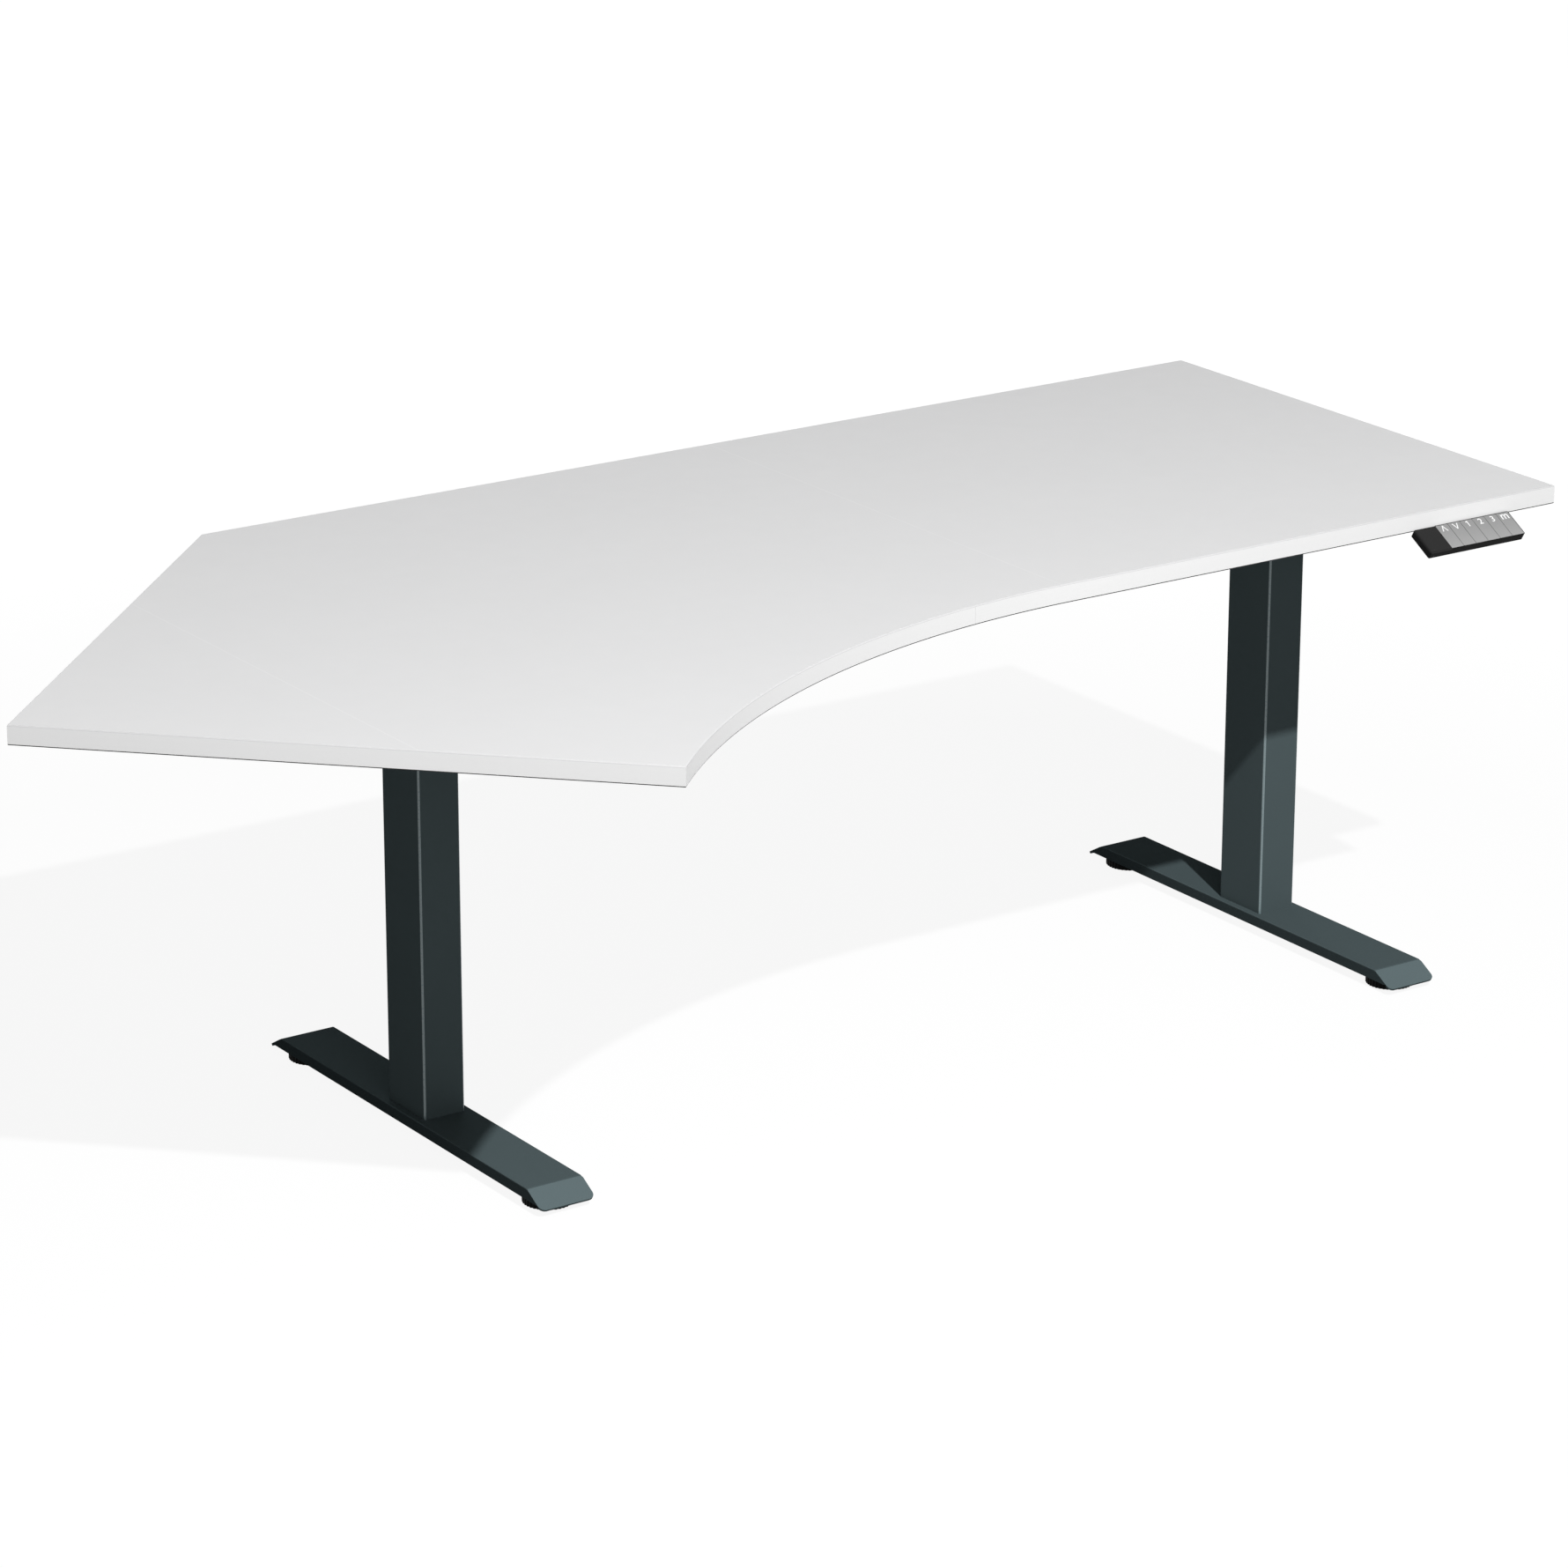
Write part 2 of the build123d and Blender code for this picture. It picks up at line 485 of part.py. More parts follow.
def make_drive(side, x, inward):
    """Gearbox, motor, worm, wheel, spindle, bearing, and the nut on its thrust tube."""
    top = Align.CENTER, Align.CENTER, Align.MAX
    axis = (x, LEG_Y)

    with BuildPart() as thrust_tube:
        with Locations((*axis, FOOT_TOP + BASE_T)):
            Cylinder(THRUST_R, THRUST_TOP - FOOT_TOP - BASE_T, align=STANDING)
            Cylinder(
                THRUST_BORE,
                THRUST_TOP - FOOT_TOP - BASE_T,
                align=STANDING,
                mode=Mode.SUBTRACT,
            )
    save(thrust_tube, f"{side}_thrust_tube")

    with BuildPart() as nut:
        with Locations((*axis, THRUST_TOP)):
            Cylinder(THRUST_R, 6, align=STANDING)
            Cylinder(THRUST_BORE, 26, align=top)
        with Locations((*axis, THRUST_TOP + 6)):
            Cylinder(SPINDLE_R + RUNNING, 32, align=top, mode=Mode.SUBTRACT)
    save(nut, f"{side}_spindle_nut")

    with BuildPart() as spindle:
        with Locations((*axis, HOUSING_Z - 1)):
            Cylinder(SPINDLE_R, HOUSING_Z - 1 - SPINDLE_LOW, align=top)
            Cylinder(JOURNAL_R, 34, align=STANDING)
        fillet(spindle.edges().group_by(Axis.Z)[0], 2.0)
    save(spindle, f"{side}_spindle")

    with BuildPart() as wheel:
        with BuildSketch(leg_plane(x, GEAR_Z - GEAR_FACE / 2)):
            Circle(WHEEL_ROOT_R)
            with PolarLocations(0, GEAR_TEETH, start_angle=90):
                Polygon(
                    (WHEEL_ROOT_R - 0.6, -TOOTH_ROOT / 2 - 0.1),
                    (WHEEL_TIP_R, -TOOTH_TIP / 2),
                    (WHEEL_TIP_R, TOOTH_TIP / 2),
                    (WHEEL_ROOT_R - 0.6, TOOTH_ROOT / 2 + 0.1),
                    align=None,
                )
            Circle(JOURNAL_R, mode=Mode.SUBTRACT)
        extrude(amount=GEAR_FACE)
        with BuildSketch(leg_plane(x, GEAR_Z - GEAR_FACE / 2)):
            Circle(10)
            Circle(JOURNAL_R, mode=Mode.SUBTRACT)
        extrude(amount=-5)
    save(wheel, f"{side}_worm_wheel")

    with BuildPart() as bearing:
        with Locations((*axis, HOUSING_Z)):
            Cylinder(14, 10, align=STANDING)
            Cylinder(JOURNAL_R + RUNNING, 10, align=STANDING, mode=Mode.SUBTRACT)
    save(bearing, f"{side}_spindle_bearing")

    # the worm's axis runs along X; its thread is one start, right handed
    worm_mid = Plane(origin=(x, LEG_Y + WORM_Y, GEAR_Z), x_dir=(0, -1, 0), z_dir=(1, 0, 0))
    thread_long = 7 * WORM_PITCH
    with BuildPart(mode=Mode.PRIVATE) as thread:
        with BuildLine():
            turn = Helix(WORM_PITCH, thread_long, WORM_ROOT_R - 0.3)
        start = Plane(origin=turn @ 0, x_dir=(1, 0, 0), z_dir=turn % 0)
        reach = WORM_TIP_R - WORM_ROOT_R + 0.3
        with BuildSketch(start):
            with BuildLine():
                Polyline(
                    (0, -TOOTH_ROOT / 2 - 0.1),
                    (reach, -TOOTH_TIP / 2),
                    (reach, TOOTH_TIP / 2),
                    (0, TOOTH_ROOT / 2 + 0.1),
                    close=True,
                )
            make_face()
        sweep(path=turn, is_frenet=True)
    with BuildPart() as worm:
        with BuildSketch(worm_mid.offset(-inward * 33)):
            Circle(WORM_ROOT_R)
        extrude(amount=inward * 66)
        with BuildSketch(worm_mid.offset(inward * 33)):
            Circle(4)
        extrude(amount=inward * 86)
        with BuildSketch(worm_mid.offset(inward * 58)):
            Circle(11)
            Circle(3.9, mode=Mode.SUBTRACT)
        extrude(amount=inward * 50)
        # seven turns from this end put a groove, not the thread, opposite the middle tooth
        add(thread.part.moved(worm_mid.offset(-thread_long / 2).location))
    save(worm, f"{side}_worm")

    with BuildPart() as housing:
        with BuildSketch(leg_plane(x, HOUSING_Z)):
            with Locations((0, sum(HOUSING_Y) / 2)):
                RectangleRounded(2 * HOUSING_X, HOUSING_Y[1] - HOUSING_Y[0], 4)
        extrude(amount=WEB_Z - HOUSING_Z)
        with Locations((*axis, HOUSING_Z)):
            Cylinder(14, 10, align=STANDING, mode=Mode.SUBTRACT)
        with Locations((*axis, HOUSING_Z + 10)):
            Cylinder(
                WHEEL_TIP_R + 1,
                GEAR_Z + 6 - HOUSING_Z - 10,
                align=STANDING,
                mode=Mode.SUBTRACT,
            )
            Cylinder(JOURNAL_R + RUNNING, 26, align=STANDING, mode=Mode.SUBTRACT)
        with BuildSketch(worm_mid.offset(-inward * 34)):
            Circle(WORM_TIP_R + 1)
        extrude(amount=inward * 80, mode=Mode.SUBTRACT)
        for dx, dy in HEAD_BOLTS:
            with Locations((x + dx, LEG_Y + dy, HOUSING_Z)):
                Cylinder(HEAD_BOLT_R, 50, align=STANDING, mode=Mode.SUBTRACT)
    save(housing, f"{side}_gearbox")

    with BuildPart() as motor:
        face = worm_mid.offset(inward * (HOUSING_X + 0.0))
        with BuildSketch(face):
            Circle(MOTOR_R)
            Circle(4 + RUNNING, mode=Mode.SUBTRACT)
        extrude(amount=inward * 6)
        with BuildSketch(face.offset(inward * 6)):
            Circle(MOTOR_R)
            Circle(MOTOR_R - 4, mode=Mode.SUBTRACT)
        extrude(amount=inward * (MOTOR_LONG - 14))
        with BuildSketch(face.offset(inward * (MOTOR_LONG - 8))):
            Circle(MOTOR_R)
        extrude(amount=inward * 8)
        fillet(motor.edges().filter_by(GeomType.CIRCLE).sort_by(Axis.X)[-1 if inward > 0 else 0], 3)
    save(motor, f"{side}_motor")

    with BuildPart() as head_bolts:
        for dx, dy in HEAD_BOLTS:
            with Locations((x + dx, LEG_Y + dy, HEAD_Z)):
                Cylinder(HEAD_BOLT_R, WEB_Z + SHEET - HEAD_Z, align=STANDING)
                Cylinder(5.0, 4, align=top)
    save(head_bolts, f"{side}_head_bolts")


for side, (leg_x, inward) in LEGS.items():
    make_foot(side, leg_x)
    for end, sign in (("front", -1), ("rear", 1)):
        make_glide(side, end, leg_x, LEG_Y + sign * GLIDE_Y)
    make_column(side, leg_x)
    make_drive(side, leg_x, inward)

# === Control box under the top =======================================================

SOCKETS = [(-38, 14, 10), (-16, 14, 10), (6, 14, 10), (34, 26, 18)]  # y, width, height
SOCKET_Z = BOX_Z + 18.5
SOCKET_DEEP = 12.0
box_end = BOX_X - BOX_LONG / 2

with BuildPart() as control_box_shell:
    with Locations((BOX_X, LEG_Y, BOX_Z)):
        Box(BOX_LONG, BOX_W, BOX_H, align=STANDING)
    fillet(control_box_shell.edges().filter_by(Axis.Z), 6)
    fillet(control_box_shell.edges().group_by(Axis.Z)[0], 2)
    offset(amount=-BOX_WALL, openings=control_box_shell.faces().sort_by(Axis.Z)[-1])
    with Locations((BOX_X, LEG_Y, BOX_Z + BOX_WALL)):
        with GridLocations(BOX_LONG - 30, BOX_W - 26, 2, 2):
            Cylinder(3, 5, align=STANDING)
    with BuildSketch(side_plane(box_end, SOCKET_Z)):
        for y, wide, tall in SOCKETS:
            with Locations((y, 0)):
                Rectangle(wide, tall)
    extrude(amount=BOX_WALL, mode=Mode.SUBTRACT)
save(control_box_shell, "control_box_shell")

with BuildPart() as control_box_cover:
    with BuildSketch(Plane(origin=(BOX_X, LEG_Y, WEB_Z))):
        RectangleRounded(BOX_LONG + 40, BOX_W, 6)
    extrude(amount=SHEET)
    with Locations(*[(x, y, WEB_Z + SHEET / 2) for x, y in BOX_SCREWS]):
        Cylinder(WOOD_SCREW_R, SHEET, mode=Mode.SUBTRACT)
save(control_box_cover, "control_box_cover")

with BuildPart() as control_board:
    with Locations((BOX_X, LEG_Y, BOX_Z + BOX_WALL + 5)):
        Box(BOX_LONG - 12, BOX_W - 12, 1.6, align=STANDING)
    for y, wide, tall in SOCKETS:
        low, high = BOX_Z + BOX_WALL + 5, SOCKET_Z + tall / 2 + 2.5
        with BuildSketch(side_plane(box_end + BOX_WALL + 0.2)):
            with Locations((y, (low + high) / 2)):
                Rectangle(wide + 3, high - low)
        extrude(amount=SOCKET_DEEP + 4)
        with BuildSketch(side_plane(box_end + BOX_WALL + 0.2, SOCKET_Z)):
            with Locations((y, 0)):
                Rectangle(wide, tall)
        extrude(amount=SOCKET_DEEP, mode=Mode.SUBTRACT)
    with Locations((BOX_X - 20, LEG_Y - 20, BOX_Z + BOX_WALL + 6.6)):
        with GridLocations(24, 0, 3, 1):
            Cylinder(8, 18, align=STANDING)
    with Locations((BOX_X + 60, LEG_Y, BOX_Z + BOX_WALL + 6.6)):
        Box(60, 60, 16, align=STANDING)
save(control_board, "control_board")

# === Handset =========================================================================

# x runs along the desk's edge, y up the slope, z out of the handset's face
hand = Plane(
    origin=(HAND_X, HAND_Y, HAND_Z),
    x_dir=(1, 0, 0),
    z_dir=(0, -sin(radians(HAND_TILT)), cos(radians(HAND_TILT))),
)
BASE_TOP = -HAND_T + HAND_FLOOR


def hand_slab(x_from, x_to, y_from, y_to, z_from, z_to, mode=Mode.ADD):
    """Box given by its limits in the handset's own directions."""
    with BuildSketch(hand.offset(z_from)) as slab:
        with Locations(((x_from + x_to) / 2, (y_from + y_to) / 2)):
            Rectangle(x_to - x_from, y_to - y_from)
    extrude(slab.sketch, amount=z_to - z_from, mode=mode)


def key_middle(index):
    """Where a key's middle lies along the handset."""
    return DISPLAY_W + (index + 0.5) * KEY_PITCH


KEY_Y = (-HAND_DEEP + KEY_RIM + KEY_FIT, -KEY_RIM - KEY_FIT)

with BuildPart() as handset_housing:
    hand_slab(0, HAND_W, -HAND_DEEP, 0, BASE_TOP, 0)
    fillet(handset_housing.edges().filter_by(Axis(hand.origin, hand.z_dir)), 2.0)
    hand_slab(-1, DISPLAY_W, -HAND_DEEP - 1, 1, -WINDOW_T, 1, Mode.SUBTRACT)
    hand_slab(DISPLAY_W, HAND_W - KEY_RIM, -HAND_DEEP + KEY_RIM, -KEY_RIM, WELL_Z, 1, Mode.SUBTRACT)
    hand_slab(
        HAND_WALL, HAND_W - HAND_WALL, -HAND_DEEP + HAND_WALL, -HAND_WALL,
        BASE_TOP, WELL_Z - 1.2, Mode.SUBTRACT,
    )
    hand_slab(6, DISPLAY_W - 6, -HAND_DEEP + 6, -6, -6, 0, Mode.SUBTRACT)
    with BuildSketch(hand.offset(BASE_TOP)):
        with Locations(*[(key_middle(i), -HAND_DEEP / 2) for i in range(KEY_COUNT)]):
            Circle(STEM_R + 0.3)
    extrude(amount=HAND_T, mode=Mode.SUBTRACT)
save(handset_housing, "handset_housing")

with BuildPart() as display_window:
    hand_slab(0, DISPLAY_W - 0.1, -HAND_DEEP, 0, -WINDOW_T, 0)
    upright = display_window.edges().filter_by(Axis(hand.origin, hand.z_dir))
    fillet(upright.group_by(Axis.X)[0], 2.0)
    bevelled = display_window.faces().sort_by(Axis(hand.origin, hand.z_dir))[-1].edges()
    chamfer(bevelled.sort_by(Axis.X)[:-1], WINDOW_BEVEL)
save(display_window, "display_window")

with BuildPart() as handset_base:
    hand_slab(0, HAND_W, -HAND_DEEP, 0, -HAND_T, BASE_TOP)
    fillet(handset_base.edges().filter_by(Axis(hand.origin, hand.z_dir)), 2.0)
    behind = [
        hand.from_local_coords(Vector(0, y, z))
        for y, z in ((0, BASE_TOP), (0, -HAND_T), (-14, -HAND_T))
    ]
    profile = [
        (HAND_MOUNT_BACK, TOP_UNDER),
        (HAND_MOUNT_BACK, WEB_Z),
        (HAND_MOUNT_BACK - 35, WEB_Z),
        (behind[1].Y, behind[2].Z),
        (behind[2].Y, behind[2].Z),
        (behind[1].Y, behind[1].Z),
        (behind[0].Y, behind[0].Z),
        (behind[0].Y + 7, TOP_UNDER),
    ]
    with BuildSketch(Plane((HAND_X + HAND_NECK_IN, 0, 0), x_dir=(0, 1, 0), z_dir=(1, 0, 0))):
        with BuildLine():
            Polyline(*profile, close=True)
        make_face()
    extrude(amount=HAND_W - 2 * HAND_NECK_IN)
    with Locations(*[(x, y, WEB_Z + SHEET / 2) for x, y in HAND_SCREWS]):
        Cylinder(WOOD_SCREW_R, SHEET, mode=Mode.SUBTRACT)
save(handset_base, "handset_base")

with BuildPart() as handset_board:
    hand_slab(3, HAND_W - 3, -HAND_DEEP + 3, -3, BOARD_Z, BOARD_Z + 1)
    hand_slab(8, DISPLAY_W - 8, -HAND_DEEP + 8, -8, BOARD_Z + 1, -WINDOW_T - 0.2)
    for index in range(KEY_COUNT):
        x = key_middle(index)
        hand_slab(x - 3, x + 3, -HAND_DEEP / 2 - 3, -HAND_DEEP / 2 + 3, BOARD_Z + 1, BOARD_Z + 1.5)
save(handset_board, "handset_board")

for index, name in enumerate(("up", "down", "one", "two", "three", "memory")):
    middle = key_middle(index)
    left = middle - (KEY_PITCH - KEY_GAP) / 2
    right = min(middle + (KEY_PITCH - KEY_GAP) / 2, HAND_W - KEY_RIM - KEY_FIT)
    with BuildPart() as key:
        hand_slab(left, right, *KEY_Y, -KEY_CAP, 0)
        face = key.faces().sort_by(Axis(hand.origin, hand.z_dir))[-1]
        fillet(face.edges(), 0.25)
        with BuildSketch(hand.offset(-KEY_CAP)):
            with Locations((middle, -HAND_DEEP / 2)):
                Circle(STEM_R)
        extrude(amount=BOARD_Z + 1.5 + KEY_TRAVEL + 0.1 + KEY_CAP)
    save(key, f"key_{name}")
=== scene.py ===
import json
from math import atan2, cos, degrees, pi, radians, sin, sqrt

import bmesh
import bpy
from bpy.props import FloatProperty, FloatVectorProperty, IntProperty, PointerProperty
from mathutils import Matrix, Vector


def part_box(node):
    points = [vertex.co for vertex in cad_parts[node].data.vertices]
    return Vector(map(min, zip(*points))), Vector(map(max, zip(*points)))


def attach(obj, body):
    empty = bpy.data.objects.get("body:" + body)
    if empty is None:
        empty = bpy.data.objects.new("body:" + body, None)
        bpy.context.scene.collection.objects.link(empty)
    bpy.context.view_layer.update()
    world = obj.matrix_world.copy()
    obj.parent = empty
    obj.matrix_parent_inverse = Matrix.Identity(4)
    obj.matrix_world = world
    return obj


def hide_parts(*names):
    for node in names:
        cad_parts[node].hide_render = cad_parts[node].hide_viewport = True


bl_info = {
    "name": "Height adjustable standing desk",
    "version": (1, 0, 0),
    "blender": (4, 5, 0),
    "location": "View3D > Sidebar > Desk",
    "description": "Dresses the desk's frame: top, columns, feet, glides, handset and stage",
    "category": "Object",
}

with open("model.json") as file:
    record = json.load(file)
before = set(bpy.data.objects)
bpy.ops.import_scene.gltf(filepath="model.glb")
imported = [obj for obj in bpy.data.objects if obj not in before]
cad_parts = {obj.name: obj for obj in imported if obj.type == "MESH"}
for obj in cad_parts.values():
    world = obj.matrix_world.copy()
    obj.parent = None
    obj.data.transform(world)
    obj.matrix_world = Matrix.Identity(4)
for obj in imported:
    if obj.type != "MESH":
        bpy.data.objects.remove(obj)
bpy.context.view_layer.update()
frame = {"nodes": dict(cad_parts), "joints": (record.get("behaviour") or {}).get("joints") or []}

SIDES = ("left", "right")
ENDS = ("front", "rear")
KEYS = ("up", "down", "one", "two", "three", "memory")


# --- Places read from the frame ------------------------------------------------------


def middle(node):
    """Middle of a CAD node's box."""
    low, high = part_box(node)
    return (low + high) / 2


def joint(name):
    """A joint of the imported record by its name."""
    return next(j for j in frame["joints"] if j["name"] == name)


BAND_LOW, BAND_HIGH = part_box("edge_band")
BAND_T = BAND_HIGH.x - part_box("desktop_board")[1].x


# --- What a user would change --------------------------------------------------------


def length(name, text, default):
    return FloatProperty(name=name, description=text, default=default, unit="LENGTH", precision=5)


def colour(name, text, default):
    return FloatVectorProperty(
        name=name, description=text, default=default, subtype="COLOR", size=3, min=0, max=1
    )


class DeskSizes(bpy.types.PropertyGroup):
    """Sizes of the details that the frame's boxes don't give."""

    depth: length("Depth", "Depth of the straight part of the top and of the wing", 0.8)
    band_round: length("Band round", "Rounding of the edge band's outer edges", 0.0016)
    tube_corner: length("Tube corner", "Outer corner radius of the columns", 0.004)
    tube_wall: length("Tube wall", "Wall of the columns", 0.002)
    sheet: length("Foot sheet", "Thickness of the feet's sheet steel", 0.003)
    foot_flat: length("Foot flat", "Half length of the flat part of a foot", 0.3055)
    foot_bend: length("Foot bend", "Outer bend radius along a foot's long edges", 0.0018)
    tongue_bend: length("Tongue bend", "Bend radius where a tongue turns down", 0.002)
    tongue_corner: length("Tongue corner", "Corner radius at the end of a tongue", 0.009)
    sheet_edge: length("Sheet edge", "Rounding of the cut edges of the sheet", 0.0008)
    flange: length("Foot flange", "Height of a foot's side flanges", 0.015)
    knurl: length("Knurl", "Depth of the scallops round a levelling glide", 0.001)
    knurls: IntProperty(name="Knurls", description="Scallops round a glide", default=36, min=8)
    key_round: length("Key round", "Rounding of the keys' edges", 0.0004)
    print_height: length("Print height", "Height of the signs on the keys", 0.0098)


class DeskColours(bpy.types.PropertyGroup):
    """Colours of the finishes, in linear light."""

    laminate: colour("Laminate", "Melamine face of the top", (0.735, 0.735, 0.738))
    band: colour("Edge band", "Plastic edge band", (0.87, 0.87, 0.87))
    paint: colour("Frame paint", "Anthracite powder coat", (0.081, 0.108, 0.114))
    moulding: colour("Moulding", "Black moulded plastic", (0.008, 0.008, 0.008))
    key: colour("Key", "Grey key caps", (0.235, 0.235, 0.235))
    sign: colour("Sign", "Print on the keys", (0.80, 0.80, 0.80))
    window: colour("Window", "Handset's dark display window", (0.012, 0.012, 0.012))


class StageSettings(bpy.types.PropertyGroup):
    """Camera and light."""

    lens: FloatProperty(name="Lens", description="Focal length, mm", default=128.86)
    camera: FloatVectorProperty(
        name="Camera", description="Camera's place", default=(-3.8181, -5.5814, 2.7294), size=3
    )
    heading: FloatProperty(
        name="Heading", description="Camera's turn to the right of +Y, degrees", default=34.405
    )
    pitch: FloatProperty(name="Pitch", description="Camera's look down, degrees", default=18.8058)
    roll: FloatProperty(name="Roll", description="Camera's roll, degrees", default=0.1113)
    lamp: FloatVectorProperty(
        name="Lamp", description="Key light's place", default=(-0.834, -4.870, 5.780), size=3
    )
    lamp_size: length("Lamp size", "Key light's diameter", 0.14)
    lamp_power: FloatProperty(name="Lamp power", description="Key light, W", default=548.0)
    front: FloatVectorProperty(
        name="Front fill", description="Front fill's place", default=(-1.6, -4.5, 1.8), size=3
    )
    front_power: FloatProperty(name="Front power", description="Front fill, W", default=35.0)
    back: FloatVectorProperty(
        name="Back fill", description="Back fill's place", default=(3.2, 5.6, 1.0), size=3
    )
    back_power: FloatProperty(name="Back power", description="Back fill, W", default=65.0)
    fill_size: length("Fill size", "Diameter of the fill lights", 2.0)
    sky: FloatProperty(name="Sky", description="Strength of the even light", default=0.10)


# --- Working in edit mode ------------------------------------------------------------


def start():
    """Object mode with nothing selected."""
    if bpy.context.mode != "OBJECT":
        bpy.ops.object.mode_set(mode="OBJECT")
    bpy.ops.object.select_all(action="DESELECT")


def pick(piece):
    """One piece selected alone and active, in object mode."""
    start()
    piece.select_set(True)
    bpy.context.view_layer.objects.active = piece


def settle(name):
    """Name the piece just added and put its place into its mesh."""
    piece = bpy.context.object
    piece.name = piece.data.name = name
    bpy.ops.object.transform_apply(location=True, rotation=True, scale=True)
    return piece


def block(name, low, high):
    """Start a piece as a cube between two corners, and go to edit mode."""
    low, high = Vector(low), Vector(high)
    start()
    bpy.ops.mesh.primitive_cube_add(size=1, location=(low + high) / 2)
    bpy.context.object.scale = high - low
    piece = settle(name)
    bpy.ops.object.mode_set(mode="EDIT")
    return piece


def round_bar(name, place, radius, tall, vertices=64):
    """Start a piece as an upright cylinder that stands on a place, and go to edit mode."""
    start()
    lift = Vector((0, 0, tall / 2))
    bpy.ops.mesh.primitive_cylinder_add(
        vertices=vertices, radius=radius, depth=tall, location=Vector(place) + lift
    )
    piece = settle(name)
    bpy.ops.object.mode_set(mode="EDIT")
    return piece


def choose(kind, test):
    """Select what passes a test among the vertices, edges or faces of the piece being edited."""
    bpy.ops.mesh.select_mode(type=kind)
    bpy.ops.mesh.select_all(action="DESELECT")
    piece = bpy.context.object
    shape = bmesh.from_edit_mesh(piece.data)
    shape.select_mode = {kind}
    parts = {"VERT": shape.verts, "EDGE": shape.edges, "FACE": shape.faces}[kind]
    found = [part for part in parts if test(part)]
    if not found:
        raise RuntimeError(f"{piece.name}: no {kind.lower()} passes the test")
    for part in found:
        part.select_set(True)
    shape.select_flush_mode()
    bmesh.update_edit_mesh(piece.data)


def pull(x=0.0, y=0.0, z=0.0):
    """Extrude what is selected along a vector."""
    bpy.ops.mesh.extrude_region_move(TRANSFORM_OT_translate={"value": (x, y, z)})


def bevel(test, offset, segments):
    """Round the edges that pass a test."""
    choose("EDGE", test)
    bpy.ops.mesh.bevel(offset=offset, segments=segments, affect="EDGES")


def near(value, target, within=2e-5):
    return abs(value - target) < within


def level(edge, z):
    """True for an edge that lies at a height."""
    return all(near(v.co.z, z) for v in edge.verts)


def along(edge, axis):
    """True for an edge that runs along an axis, 0 to 2."""
    run = edge.verts[1].co - edge.verts[0].co
    return abs(run[axis]) > 0.999 * run.length


def facing(face, axis, sign):
    return face.normal[axis] * sign > 0.999


def leave(piece, smooth=32.0):
    """Back to object mode, with the normals outwards, flat faces flat and curved ones smooth."""
    bpy.ops.mesh.select_mode(type="FACE")
    bpy.ops.mesh.select_all(action="SELECT")
    bpy.ops.mesh.normals_make_consistent(inside=False)
    bpy.ops.mesh.select_all(action="DESELECT")
    bpy.ops.object.mode_set(mode="OBJECT")
    bpy.ops.object.shade_smooth_by_angle(angle=radians(smooth))
    apply(piece, "WEIGHTED_NORMAL", keep_sharp=True)
    return piece


def apply(piece, kind, **settings):
    """Add a modifier to the piece and apply it."""
    modifier = piece.modifiers.new(kind.title(), kind)
    for key, value in settings.items():
        setattr(modifier, key, value)
    bpy.ops.object.modifier_apply(modifier=modifier.name)


def join(parts):
    """Join meshes into the first of them."""
    start()
    for part in parts:
        part.select_set(True)
    bpy.context.view_layer.objects.active = parts[0]
    bpy.ops.object.join()
    return parts[0]


def stands_for(piece, body, material, slot, *nodes):
    """Give a finished piece its material and body, and hide the nodes it stands for; the slot is
    not used.
    """
    if not piece.data.materials:
        piece.data.materials.append(material)
    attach(piece, body)
    if nodes:
        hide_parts(*nodes)


def trim(piece, material, test):
    """Give the faces that pass a test another finish."""
    pick(piece)
    piece.data.materials.append(material)
    piece.active_material_index = len(piece.data.materials) - 1
    bpy.ops.object.mode_set(mode="EDIT")
    choose("FACE", test)
    bpy.ops.object.material_slot_assign()
    start()


def dress(node, material):
    """Give a CAD node its material."""
    mesh = frame["nodes"][node].data
    mesh.materials.clear()
    mesh.materials.append(material)


# --- Finishes ------------------------------------------------------------------------


